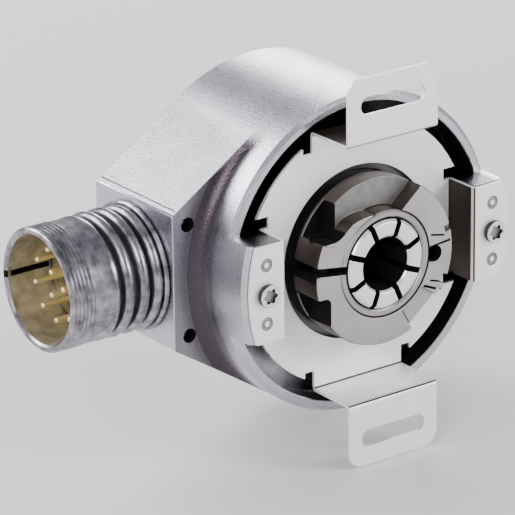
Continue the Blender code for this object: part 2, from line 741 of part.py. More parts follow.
def block(x0, x1, y0, y1, z0, z1):
    return prism(rectangle(x0, x1, z0, z1), "Y", y0, y1)


def turned_block(angle, r0, r1, half_width, y0, y1):
    """A block that stands at a radius from the shaft axis."""
    bm = block(r0, r1, y0, y1, -half_width, half_width)
    bmesh.ops.transform(bm, matrix=Matrix.Rotation(-radians(angle), 4, "Y"), verts=bm.verts)
    return bm


def light_source(parent):
    piece("led_holder", turned_block(TRACK_ANGLE, 18.3, 22.6, 2.6, WEB_BACK_Y + FIT, 32.4),
          dark_plastic(), parent)
    lens = [(0.0, 32.6), (1.5, 32.6), (1.5, 33.1), (1.1, 33.5), (0.0, 33.7)]
    piece("led", turned(lens, SMALL, place(*polar(TRACK_R, TRACK_ANGLE))), disc_glass(), parent)


def circuit_board(parent):
    tongue_angle = 180.0 - degrees(atan2(BOARD_TONGUE_HALF_Z, 24.8))
    outline = arc(BOARD_R, -tongue_angle, tongue_angle, 30)
    outline += [(BOARD_TONGUE_X, BOARD_TONGUE_HALF_Z), (BOARD_TONGUE_X, -BOARD_TONGUE_HALF_Z)]
    board = piece("main_board", prism(outline, "Y", BOARD_Y, BOARD_BACK_Y), board_green(), parent)
    front = BOARD_Y - 1.0
    back = BOARD_BACK_Y + 1.0
    cutters = [turned(rod(1.2, front, back), TINY, place(*polar(SPACER_RING_R, angle)))
               for angle in SPACER_ANGLES]
    cutters += [turned(rod(3.6, front, back), SMALL, place(*polar(REAR_BOSS_R, angle)))
                for angle in REAR_BOSS_ANGLES]
    cut(board, *cutters)


def board_fixings(parent):
    for number, angle in enumerate(SPACER_ANGLES, start=1):
        line = place(*polar(SPACER_RING_R, angle))
        tube = [(0.0, WEB_BACK_Y + FIT), (SPACER_R, WEB_BACK_Y + FIT), (SPACER_R, BOARD_Y - 0.2),
                (1.1, BOARD_Y - 0.2), (1.1, BOARD_Y - 5.0), (0.0, BOARD_Y - 5.0)]
        screw = [(0.0, 39.1), (1.7, 39.1), (1.7, BOARD_BACK_Y + 0.2), (0.85, BOARD_BACK_Y + 0.2),
                 (0.85, BOARD_Y - 4.0), (0.0, BOARD_Y - 4.0)]
        piece("board_spacer_%d" % number, turned(tube, TINY, line), bright_steel(), parent)
        piece("board_screw_%d" % number, turned(screw, TINY, line), bright_steel(), parent)


def board_components(parent):
    x, z = polar(TRACK_R, TRACK_ANGLE)
    front = BOARD_Y - 0.2
    back = BOARD_BACK_Y + 0.15
    piece("sensor_chip", block(x - 2.5, x + 2.5, DISC_Y + 1.2, front, z - 2.5, z + 2.5),
          dark_plastic(), parent)
    piece("processor_chip", block(-1.0, 8.0, back, back + 1.0, -9.0, 0.0), dark_plastic(), parent)


def lead_bundle(parent):
    """The wires from the connector to the board, one short bundle on a smooth quarter turn."""
    curve = bpy.data.curves.new("lead_bundle", "CURVE")
    curve.dimensions = "3D"
    curve.bevel_depth = 1.6 * MM
    curve.bevel_resolution = 2
    curve.use_fill_caps = True
    start_x = BOX_END_X + 2.7
    end_x = (BOARD_TONGUE_X - 24.0) / 2.0
    end_y = 32.8
    radius = end_y - CONNECTOR_Y
    points = [(start_x, CONNECTOR_Y)]
    points += [(end_x - radius + dx, end_y + dy) for dx, dy in arc(radius, -90.0, 0.0, 6)]
    spline = curve.splines.new("POLY")
    spline.points.add(len(points) - 1)
    for target, (x, y) in zip(spline.points, points):
        target.co = (x * MM, y * MM, 0.0, 1.0)
    leads = bpy.data.objects.new("lead_bundle", curve)
    leads.data.materials.append(black_rubber())
    leads.parent = parent
    bpy.context.scene.collection.objects.link(leads)


# ---------------------------------------------------------------- connector

def connector_shell(parent):
    """Round shell: a foot on the box, three rounded ribs and a plain sleeve at the mouth."""
    spigot_r = CONNECTOR_HOLE_R - FIT
    end = CONNECTOR_LENGTH
    outer = [(spigot_r, -2.2), (spigot_r, 0.9), (8.8, 0.9), (8.8, 0.3), (FOOT_R, 0.3), (FOOT_R, 1.1)]
    for crest in RIB_CRESTS:
        outer += [(GROOVE_FLOOR_R + 0.5, crest - 0.95), (RIB_R, crest - 0.45), (RIB_R, crest + 0.45),
                  (GROOVE_FLOOR_R, crest + 1.2)]
    outer += [(GROOVE_FLOOR_R, 10.2), (SLEEVE_R, 10.7), (SLEEVE_R, end - 0.6),
              (SLEEVE_R - 0.5, end), (SLEEVE_INNER_R, end)]
    inner = [(SLEEVE_INNER_R, 11.2), (9.2, 11.2), (9.2, 3.0), (5.6, 3.0), (5.6, -2.2)]
    piece("connector_shell", turned(outer + inner, MEDIUM, ALONG_CONNECTOR), nickel(), parent)
    piece("connector_seal", turned(ring(7.7, 8.6, 0.15, 0.75), MEDIUM, ALONG_CONNECTOR),
          black_rubber(), parent)


def pin_places():
    outer = [polar(6.6, 20.0 + 40.0 * i) for i in range(9)]
    inner = [polar(2.5, 30.0 + 120.0 * i) for i in range(3)]
    return outer + inner


def connector_axis(u, v):
    """Axis parallel to the connector's, offset across it."""
    return ALONG_CONNECTOR @ Matrix.Translation((u, v, 0.0))


def connector_inside(parent):
    profile = [(0.0, -2.0), (5.3, -2.0), (5.3, 3.3), (8.9, 3.3), (8.9, INSERT_FACE - 0.4),
               (8.5, INSERT_FACE), (0.0, INSERT_FACE)]
    insert = piece("connector_insert", turned(profile, MEDIUM, ALONG_CONNECTOR), insert_plastic(),
                   parent)
    lines = [connector_axis(u, v) for u, v in pin_places()]
    cut(insert, *[turned(rod(PIN_R + 0.25, INSERT_FACE - 2.0, INSERT_FACE + 1.0), 8, line)
                  for line in lines])
    for number, line in enumerate(lines, start=1):
        pin = [(0.0, INSERT_FACE - 1.8), (PIN_R, INSERT_FACE - 1.8), (PIN_R, PIN_TIP - 0.6),
               (PIN_R * 0.5, PIN_TIP), (0.0, PIN_TIP)]
        piece("contact_pin_%d" % number, turned(pin, 8, line), gold(), parent)


# ---------------------------------------------------------------- assembly

def main():
    clear_scene()
    stator = axis_empty("stator")
    rotor = axis_empty("rotor", stator)
    front_cage = axis_empty("front_cage_axis", stator)
    rear_cage = axis_empty("rear_cage_axis", stator)

    housing(stator)
    rear_cover(stator)
    cover_seal(stator)
    casing_screws(stator)
    stator_coupling(stator)
    coupling_screws(stator)
    bearing_flange(stator)
    flange_screws(stator)
    races("front", FRONT_BEARING_Y, stator, rotor)
    races("rear", REAR_BEARING_Y, stator, rotor)
    ball_cage("front_ball_cage", FRONT_BEARING_Y, front_cage)
    ball_cage("rear_ball_cage", REAR_BEARING_Y, rear_cage)
    wave_spring(stator)
    small_turned_parts(stator, rotor)

    hollow_shaft(rotor)
    collet(rotor)
    clamp_ring(rotor)
    clamp_screw(rotor)
    disc_and_hub(rotor)

    light_source(stator)
    circuit_board(stator)
    board_fixings(stator)
    board_components(stator)
    lead_bundle(stator)

    connector_shell(stator)
    connector_inside(stator)


main()
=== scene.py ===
"""Rotary encoder with a blind hollow shaft: the visual model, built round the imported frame.

Sizes are millimetres and angles are degrees, counter-clockwise from +X seen from -Y.
The shaft axis is Y, the shaft side faces -Y, the connector points to -X and +Z is up.
"""

from math import acos, asin, atan2, cos, degrees, hypot, pi, radians, sin

import bmesh
import bpy
from mathutils import Matrix, Vector


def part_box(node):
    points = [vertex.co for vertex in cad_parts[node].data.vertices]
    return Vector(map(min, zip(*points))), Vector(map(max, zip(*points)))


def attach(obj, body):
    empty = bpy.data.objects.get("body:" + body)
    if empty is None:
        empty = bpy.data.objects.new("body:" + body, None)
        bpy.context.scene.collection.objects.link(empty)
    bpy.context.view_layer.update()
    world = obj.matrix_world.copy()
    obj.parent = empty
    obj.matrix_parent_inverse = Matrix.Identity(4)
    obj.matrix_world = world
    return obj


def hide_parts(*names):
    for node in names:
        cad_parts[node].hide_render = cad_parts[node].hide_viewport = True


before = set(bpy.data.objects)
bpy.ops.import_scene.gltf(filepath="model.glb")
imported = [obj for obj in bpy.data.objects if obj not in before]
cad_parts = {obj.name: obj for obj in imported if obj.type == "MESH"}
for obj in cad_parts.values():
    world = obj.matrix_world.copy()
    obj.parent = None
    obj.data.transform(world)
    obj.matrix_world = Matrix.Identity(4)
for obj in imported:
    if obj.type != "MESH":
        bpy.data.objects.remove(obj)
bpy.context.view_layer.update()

MM = 0.001
X, Y, Z = 0, 1, 2


def low(node, axis):
    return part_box(node)[0][axis] / MM


def high(node, axis):
    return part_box(node)[1][axis] / MM


def centre_of(node, axis):
    return (low(node, axis) + high(node, axis)) / 2.0


# Body, from the frame
BODY_R = high("housing", X)
LUG_FRONT_Y = low("housing", Y)
BACK_Y = high("housing", Y)
BOX_END_X = low("housing", X)
COVER_Y = low("rear_cover", Y)
COVER_BACK_Y = high("rear_cover", Y)
COVER_GAP = 0.3
LEDGE_INSET = low("rear_cover", X) - BOX_END_X - COVER_GAP
LEDGE_Y = low("cover_seal", Y) - 0.1

# Body, details
BOX_HALF_Z = 12.7
BOX_Y = 17.4
BOX_FILLET = 3.4
SEAM_WIDTH = 0.22
SEAM_DEPTH = 0.22
SEAM_MARGIN = 0.7
END_BAND = 0.9
RIM_Y = 9.8
RIM_INNER_R = 28.0
RIM_CHAMFER = 0.8
SHOULDER_Y = 15.4
SHOULDER_BACK_Y = 18.4
SHOULDER_R = 21.4
CAVITY_R = 27.2
CAVITY_END_X = -33.2
BOX_CAVITY_Y = 20.0
BOX_CAVITY_HALF_Z = 7.6
BOX_HOLE_X = -32.3
BOX_HOLE_Z = 10.5
BOX_HOLE_R = 1.35
LUG_INNER_X = 22.0
LUG_HALF_Z = 9.2
LUG_SCREW_X = 25.5
REAR_BOSS_R = 24.3
REAR_BOSS_Y = 35.3
REAR_BOSS_ANGLES = (50.0, 125.0, -125.0, -50.0)
REAR_BOSS_OUTER_R = 3.2
REAR_BOSS_HOLE_R = 1.3
LUG_HOLE_R = 1.35
COVER_SINK_R = 2.75
COVER_HOLE_R = 1.5
COVER_SCREW_R = 2.4
COVER_SHANK_R = 1.05
COVER_DRIVE_R = 1.15
SET_SCREW_R = 1.05
FAR = 40.0

# Stator coupling
WING_Y = low("stator_coupling", Y)
WING_TIP_Z = high("stator_coupling", Z)
PLATE_BACK_Y = high("stator_coupling", Y)
SHEET = 0.6
BEND_R = 0.6
PLATE_R = 25.0
PLATE_HOLE_R = 16.4
LEG_HALF_X = 10.0
LEG_Z = 24.2
WING_CORNER_R = 3.0
SLOT_PITCH_Z = 31.5
SLOT_WIDTH = 3.2
SLOT_LENGTH = 14.3
TAB_Y = 3.3
SIDE_LEG_X = 21.8
SIDE_HALF_Z = 9.1
TAB_END_R = 29.2
DIMPLE_Z = 5.5
RELIEF_WIDTH = 2.0
WING_RELIEF_Z = 20.8
SIDE_RELIEF_X = 19.8
TAB_HOLE_R = 1.6
TAB_SCREW_SHANK_R = 1.15
TAB_SCREW_DRIVE_R = 1.5
TAB_SCREW_DRIVE_DEPTH = 0.75

# Rotor
RING_R = high("clamp_ring", X)
RING_Y = low("clamp_ring", Y)
RING_BACK_Y = high("clamp_ring", Y)
RING_BORE_R = 10.06
SHAFT_R = high("hollow_shaft", X)
SHAFT_Y = low("hollow_shaft", Y)
SHAFT_END_Y = high("hollow_shaft", Y)
SHAFT_FLOOR_Y = 25.0
SHAFT_BORE_R = 8.6
COLLET_R = high("collet", X)
COLLET_Y = low("collet", Y)
COLLET_END_Y = high("collet", Y)
COLLET_SLOT_END_Y = 18.0
BORE_R = 5.0
COLLET_SLOTS = 8
COLLET_SLOT_ANGLE = 23.5
COLLET_SLOT_WIDTH = 1.1
SPLIT_ANGLE = 171.0
SPLIT_OFFSET = 0.6
SPLIT_WIDTH = 1.5
RING_FLOOR_Y = 5.6
STEP_DEPTH = 0.6
POCKET_FLOOR_Y = 8.6
POCKET_SIDE_X = -8.85
JAW_TOP_Z = 6.6
TIP_POCKET_X = -12.25
TIP_POCKET_Z = -3.6
HINGE_X = 11.2
HINGE_Z = -0.65
HINGE_R = 1.55
CLAMP_SCREW_X = -12.0
CLAMP_SCREW_Y = 5.6
CLAMP_HEAD_Z = 4.5
CLAMP_SHANK_R = 1.15
CLAMP_TOP_Z = high("clamp_screw", Z)
CLAMP_TIP_Z = low("clamp_screw", Z)

# Connector
CONNECTOR_Y = centre_of("connector_shell", Y)
FOOT_R = high("connector_shell", Z)
RIB_CRESTS = (2.1, 4.9, 8.1)
RIB_R = 11.5
GROOVE_FLOOR_R = 9.9
SLEEVE_R = 11.35
SLEEVE_INNER_R = 10.0
MOUTH = BOX_END_X - low("connector_shell", X)
CONNECTOR_HOLE_R = 7.4
INSERT_FACE = 9.5
PIN_R = 0.55
PIN_TIP = 17.0
PIN_CIRCLE_R = 6.6
INNER_PIN_CIRCLE_R = 2.5
THREAD_START = MOUTH - 5.2
THREAD_PITCH = 0.8
THREAD_TURNS = 6
THREAD_DEPTH = 0.16
KEYWAY_DEPTH = 0.8
KEYWAY_HALF_WIDTH = 0.55

# Facets round a full turn
WIDE = 192
MEDIUM = 96
SMALL = 40
SHARP_ANGLE = 32.0

QUARTER_TURN = pi / 2.0
ALONG_SHAFT = Matrix.Rotation(-QUARTER_TURN, 4, "X")
ALONG_CONNECTOR = (Matrix.Translation((BOX_END_X, CONNECTOR_Y, 0.0))
                   @ Matrix.Rotation(-QUARTER_TURN, 4, "Y"))


# -------- outlines and solids

def arc(radius, start, end, steps, centre=(0.0, 0.0)):
    """Points on an arc from start to end, both included."""
    points = []
    for i in range(steps + 1):
        angle = radians(start + (end - start) * i / steps)
        points.append((centre[0] + radius * cos(angle), centre[1] + radius * sin(angle)))
    return points


def polar(radius, angle):
    return radius * cos(radians(angle)), radius * sin(radians(angle))


def rectangle(u0, u1, v0, v1):
    return [(u0, v0), (u1, v0), (u1, v1), (u0, v1)]


def flank_angle():
    """Direction of the contact point where a flat flank meets the round body."""
    corner = degrees(atan2(BOX_HALF_Z, BOX_END_X))
    return corner - degrees(acos(BODY_R / hypot(BOX_END_X, BOX_HALF_Z)))


def flank_height(x, inset):
    """Half height of the flank at x, for an outline moved inwards by inset."""
    normal = radians(flank_angle())
    return (BODY_R - inset - cos(normal) * x) / sin(normal)


def teardrop(inset):
    """The body's outline: a circle with two tangent flanks that end at the connector face."""
    end_x = BOX_END_X + inset
    end_z = flank_height(end_x, inset)
    points = arc(BODY_R - inset, -flank_angle(), flank_angle(), 130)
    return points + [(end_x, end_z), (end_x, -end_z)]


def mirrored(upper):
    """An outline's upper half with its lower half added."""
    return upper + [(u, -v) for u, v in reversed(upper)]


def lift(axis, u, v, along):
    """A point from two outline coordinates and one along the axis of extrusion."""
    if axis == "X":
        return Vector((along, u, v))
    if axis == "Y":
        return Vector((u, along, v))
    return Vector((u, v, along))


def prism(outline, axis, start, end):
    """An outline extruded along X (outline in y, z), Y (x, z) or Z (x, y)."""
    bm = bmesh.new()
    corners = [bm.verts.new(lift(axis, u, v, start)) for u, v in outline]
    grown = bmesh.ops.extrude_face_region(bm, geom=[bm.faces.new(corners)])
    moved = [item for item in grown["geom"] if isinstance(item, bmesh.types.BMVert)]
    bmesh.ops.translate(bm, verts=moved, vec=lift(axis, 0.0, 0.0, end - start))
    bmesh.ops.recalc_face_normals(bm, faces=bm.faces)
    return bm


def turned(profile, steps, placement=ALONG_SHAFT):
    """A profile of (radius, distance along the axis) spun round; it may start and end on the axis."""
    bm = bmesh.new()
    verts = [bm.verts.new((radius, 0.0, along)) for radius, along in profile]
    edges = [bm.edges.new(pair) for pair in zip(verts, verts[1:])]
    if profile[0][0] > 0.0:
        edges.append(bm.edges.new((verts[-1], verts[0])))
    bmesh.ops.spin(bm, geom=verts + edges, cent=(0.0, 0.0, 0.0), axis=(0.0, 0.0, 1.0),
                   dvec=(0.0, 0.0, 0.0), angle=2.0 * pi, steps=steps, use_merge=True,
                   use_duplicate=False)
    bmesh.ops.remove_doubles(bm, verts=bm.verts, dist=0.0005)
    bmesh.ops.transform(bm, matrix=placement, verts=bm.verts)
    bmesh.ops.recalc_face_normals(bm, faces=bm.faces)
    return bm


def swept(profile, start, end, steps):
    """A closed profile of (radius, y) carried round the shaft axis from one angle to another."""
    bm = bmesh.new()
    rows = []
    for i in range(steps + 1):
        turn = radians(start + (end - start) * i / steps)
        rows.append([bm.verts.new((r * cos(turn), y, r * sin(turn))) for r, y in profile])
    count = len(profile)
    for near, far in zip(rows, rows[1:]):
        for k in range(count):
            nxt = (k + 1) % count
            bm.faces.new((near[k], near[nxt], far[nxt], far[k]))
    bm.faces.new(rows[0])
    bm.faces.new(rows[-1])
    bmesh.ops.recalc_face_normals(bm, faces=bm.faces)
    return bm


def ring(inner, outer, start, end):
    return [(inner, start), (outer, start), (outer, end), (inner, end)]


def rod(radius, start, end):
    return [(0.0, start), (radius, start), (radius, end), (0.0, end)]


def softened(profile, radius, steps=3):
    """A profile whose corners are rounded, except where it touches the axis."""
    points = []
    count = len(profile)
    for i, (u, v) in enumerate(profile):
        here = Vector((u, v))
        before = Vector(profile[i - 1]) - here
        after = Vector(profile[(i + 1) % count]) - here
        on_axis = u <= 0.0
        reach = min(radius, before.length * 0.45, after.length * 0.45)
        if on_axis or reach < 0.01 or before.angle(after) > radians(165.0):
            points.append((u, v))
            continue
        first = here + before.normalized() * reach
        last = here + after.normalized() * reach
        for k in range(steps + 1):
            t = k / steps
            point = first.lerp(here, t).lerp(here.lerp(last, t), t)
            points.append((point.x, point.y))
    return points


def place(x, z):
    """Axis parallel to the shaft, through x and z."""
    return Matrix.Translation((x, 0.0, z)) @ ALONG_SHAFT


# -------- objects

def to_object(name, bm):
    """A new object whose mesh is the bmesh, changed from millimetres to metres."""
    bmesh.ops.scale(bm, vec=(MM, MM, MM), verts=bm.verts)
    mesh = bpy.data.meshes.new(name)
    bm.to_mesh(mesh)
    bm.free()
    obj = bpy.data.objects.new(name, mesh)
    bpy.context.scene.collection.objects.link(obj)
    return obj


def taken(obj):
    """The object's mesh as a shape in millimetres; the object is removed."""
    bm = bmesh.new()
    bm.from_mesh(obj.data)
    bmesh.ops.scale(bm, vec=(1.0 / MM, 1.0 / MM, 1.0 / MM), verts=bm.verts)
    bpy.data.objects.remove(obj, do_unlink=True)
    return bm


def settle(obj):
    """Applies the object's modifiers."""
    depsgraph = bpy.context.evaluated_depsgraph_get()
    mesh = bpy.data.meshes.new_from_object(obj.evaluated_get(depsgraph))
    obj.modifiers.clear()
    old = obj.data
    obj.data = mesh
    bpy.data.meshes.remove(old)


def cut(obj, *shapes):
    """Takes the shapes away from the object, all in one step."""
    guides = bpy.data.collections.new("guides")
    bpy.context.scene.collection.children.link(guides)
    cutters = [to_object("guide", shape) for shape in shapes]
    for cutter in cutters:
        bpy.context.scene.collection.objects.unlink(cutter)
        guides.objects.link(cutter)
    step = obj.modifiers.new("cut", "BOOLEAN")
    step.operation = "DIFFERENCE"
    step.solver = "EXACT"
    step.operand_type = "COLLECTION"
    step.collection = guides
    settle(obj)
    for cutter in cutters:
        bpy.data.objects.remove(cutter, do_unlink=True)
    bpy.data.collections.remove(guides)


def smooth(obj):
    obj.data.shade_smooth()
    obj.data.set_sharp_from_angle(angle=radians(SHARP_ANGLE))


def round_edges(obj, width, segments=2, where=None):
    """Rounds the sharp edges, or those of them whose two ends pass the test."""
    smooth(obj)
    mesh = obj.data
    weights = mesh.attributes.new("bevel_weight_edge", "FLOAT", "EDGE")
    for edge in mesh.edges:
        if not edge.use_edge_sharp:
            continue
        ends = [mesh.vertices[index].co / MM for index in edge.vertices]
        if where is None or where(*ends):
            weights.data[edge.index].value = 1.0
            edge.use_edge_sharp = False
    step = obj.modifiers.new("edges", "BEVEL")
    step.limit_method = "WEIGHT"
    step.width = width * MM
    step.segments = segments
    step.use_clamp_overlap = False
    step.harden_normals = True
    settle(obj)


def paint(obj, finish, test):
    """Gives a second finish to the faces whose middle and normal pass the test."""
    obj.data.materials.append(FINISHES[finish])
    index = len(obj.data.materials) - 1
    for face in obj.data.polygons:
        if test(face.center / MM, face.normal):
            face.material_index = index


def finish_piece(obj, body, slot, *nodes, finish=None):
    """Gives a piece its material, and says which body it rides on and which nodes it replaces."""
    obj.data.materials.clear()
    obj.data.materials.append(FINISHES[finish or slot])
    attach(obj, body)
    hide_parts(*nodes)
    return obj


# -------- materials

class Nodes:
    """A new material and short ways to add nodes to it."""

    def __init__(self, name):
        self.material = bpy.data.materials.new(name)
        self.material.use_nodes = True
        self.tree = self.material.node_tree
        self.shader = self.tree.nodes["Principled BSDF"]

    def add(self, kind, **settings):
        node = self.tree.nodes.new("ShaderNode" + kind)
        for key, value in settings.items():
            setattr(node, key, value)
        return node

    def link(self, source, target):
        self.tree.links.new(source, target)

    def coordinates(self, stretch=(1.0, 1.0, 1.0)):
        """Object coordinates in millimetres, divided by the stretch."""
        texture = self.add("TexCoord")
        mapping = self.add("Mapping")
        mapping.inputs["Scale"].default_value = [1.0 / (MM * value) for value in stretch]
        self.link(texture.outputs["Object"], mapping.inputs["Vector"])
        return mapping.outputs["Vector"]

    def lathe_coordinates(self, axis, centre):
        """(radius, distance along the axis) in millimetres, for marks left by turning."""
        shift = self.add("VectorMath", operation="SUBTRACT")
        shift.inputs[1].default_value = centre
        self.link(self.coordinates(), shift.inputs[0])
        parts = self.split(shift.outputs[0])
        across = [part for i, part in enumerate(parts) if i != axis]
        join = self.add("CombineXYZ")
        self.link(self.radius(*across), join.inputs[0])
        self.link(parts[axis], join.inputs[1])
        return join.outputs[0]

    def noise(self, vector, size, detail=3.0):
        """Noise whose features are about size millimetres across."""
        node = self.add("TexNoise")
        node.inputs["Scale"].default_value = 1.0 / size
        node.inputs["Detail"].default_value = detail
        self.link(vector, node.inputs["Vector"])
        return node.outputs["Fac"]

    def spread(self, value, start, end):
        """A noise value's middle range carried to start..end."""
        node = self.add("MapRange")
        node.inputs["From Min"].default_value = 0.3
        node.inputs["From Max"].default_value = 0.7
        node.inputs["To Min"].default_value = start
        node.inputs["To Max"].default_value = end
        self.link(value, node.inputs["Value"])
        return node.outputs["Result"]

    def mix(self, factor, first, second):
        """One colour where the factor is 0 and another where it is 1; each a colour or a socket."""
        node = self.add("Mix", data_type="RGBA")
        colours = [socket for socket in node.inputs if socket.type == "RGBA"]
        for socket, colour in zip(colours, (first, second)):
            if isinstance(colour, tuple):
                socket.default_value = (*colour, 1.0)
            else:
                self.link(colour, socket)
        self.link(factor, node.inputs["Factor"])
        return [socket for socket in node.outputs if socket.type == "RGBA"][0]

    def blend(self, value, dark, light):
        """A colour between two, by a noise value."""
        return self.mix(self.spread(value, 0.0, 1.0), dark, light)

    def split(self, vector):
        node = self.add("SeparateXYZ")
        self.link(vector, node.inputs[0])
        return list(node.outputs)

    def math(self, operation, *values):
        node = self.add("Math", operation=operation)
        for socket, value in zip(node.inputs, values):
            if isinstance(value, float):
                socket.default_value = value
            else:
                self.link(value, socket)
        return node.outputs[0]

    def radius(self, u, v):
        return self.math("SQRT", self.math("ADD", self.math("MULTIPLY", u, u),
                                           self.math("MULTIPLY", v, v)))

    def ramp(self, value, start, end):
        """0 at start and 1 at end, with a soft step between."""
        node = self.add("MapRange", interpolation_type="SMOOTHSTEP")
        node.inputs["From Min"].default_value = min(start, end)
        node.inputs["From Max"].default_value = max(start, end)
        node.inputs["To Min"].default_value = 0.0 if start < end else 1.0
        node.inputs["To Max"].default_value = 1.0 if start < end else 0.0
        self.link(value, node.inputs["Value"])
        return node.outputs["Result"]

    def product(self, first, *others):
        for other in others:
            first = self.math("MULTIPLY", first, other)
        return first

    def bump(self, height, depth, strength):
        node = self.add("Bump")
        node.inputs["Strength"].default_value = strength
        node.inputs["Distance"].default_value = depth * MM
        self.link(height, node.inputs["Height"])
        self.link(node.outputs["Normal"], self.shader.inputs["Normal"])

    def set(self, **values):
        for key, value in values.items():
            self.shader.inputs[key.replace("_", " ")].default_value = value


def tinted(colour, factor):
    return tuple(min(1.0, channel * factor) for channel in colour)


def grained(name, colour, metallic, roughness, grain=0.35, depth=0.02, contrast=0.08,
            blotch=6.0, stretch=(1.0, 1.0, 1.0), lathe=None, gloss=0.5):
    """A finish with fine grain, slow colour drift and uneven gloss."""
    made = Nodes(name)
    even = made.coordinates()
    fine = made.lathe_coordinates(*lathe) if lathe else made.coordinates(stretch)
    grain_value = made.noise(fine, grain, 4.0)
    drift = made.noise(even, blotch, 2.0)
    colour_out = made.blend(drift, tinted(colour, 1.0 - contrast), tinted(colour, 1.0 + contrast))
    made.link(colour_out, made.shader.inputs["Base Color"])
    made.link(made.spread(grain_value, roughness * 0.85, roughness * 1.2),
              made.shader.inputs["Roughness"])
    made.bump(grain_value, depth, 0.6)
    made.set(Metallic=metallic, Specular_IOR_Level=gloss)
    return made.material


def casting_finish():
    """Cast aluminium with painted shade in the front recess, on the lugs' tops, beside the box and on
    the box's front; the recess's shade thins low on its left, where light falls.
    """
    made = Nodes("cast_aluminium_body")
    place_mm = made.coordinates()
    grain = made.noise(place_mm, 0.4, 4.0)
    drift = made.noise(place_mm, 6.0, 2.0)
    x, y, z = made.split(place_mm)
    radius = made.radius(x, z)
    height = made.math("ABSOLUTE", z)
    # Painted shade inside the front recess, with painted light thinning it on the lower left of its
    # floor.
    lit_floor = made.product(made.ramp(x, -8.0, -14.0), made.ramp(z, -9.0, -12.5), -0.6)
    recess_shade = made.product(made.ramp(y, RIM_Y - 2.4, RIM_Y - 0.4), made.ramp(y, 39.0, 38.5),
                             made.ramp(radius, RIM_INNER_R + 0.05, RIM_INNER_R - 0.25),
                             made.math("ADD", lit_floor, 1.0))
    # Painted shade on the lugs' tops inside the rim.
    lug_top_shade = made.product(made.ramp(height, LUG_HALF_Z - 0.1, LUG_HALF_Z - 0.02),
                           made.ramp(height, LUG_HALF_Z + 0.15, LUG_HALF_Z + 0.05),
                           made.ramp(radius, BODY_R - 0.3, RIM_INNER_R),
                           made.ramp(y, RIM_Y - 0.05, RIM_Y - 0.15))
    # Painted shade in the crease beside the box and on the box's front next to the round body.
    box_crease_shade = made.product(made.ramp(x, -16.5, -20.0), made.ramp(y, BOX_Y - 0.02, BOX_Y - 0.1),
                              made.ramp(y, BOX_Y - 4.6, BOX_Y - 1.7),
                              made.ramp(radius, BODY_R - 1.0, BODY_R - 0.5), 0.96)
    box_front_shade = made.product(made.ramp(x, -16.0, -20.0), made.ramp(y, BOX_Y - 0.2, BOX_Y - 0.05),
                                made.ramp(y, BOX_Y + 0.1, BOX_Y + 0.02))
    near_body = made.math("MULTIPLY_ADD", made.ramp(radius, BODY_R + 6.0, BODY_R + 1.0), 0.4, 0.58)
    shade = made.math("MAXIMUM", box_crease_shade, made.product(box_front_shade, near_body))
    metal = made.blend(drift, (0.52, 0.515, 0.565), (0.61, 0.605, 0.655))
    metal = made.mix(shade, metal, (0.06, 0.042, 0.055))
    metal = made.mix(made.product(lug_top_shade, 0.85), metal, (0.03, 0.026, 0.026))
    metal = made.mix(recess_shade, metal, (0.02, 0.018, 0.018))
    made.link(metal, made.shader.inputs["Base Color"])
    made.link(made.spread(grain, 0.24, 0.42), made.shader.inputs["Roughness"])
    made.bump(grain, 0.09, 0.8)
    made.set(Metallic=1.0)
    return made.material


SHAFT_LATHE = (Y, (0.0, 0.0, 0.0))
CONNECTOR_LATHE = (X, (0.0, CONNECTOR_Y, 0.0))

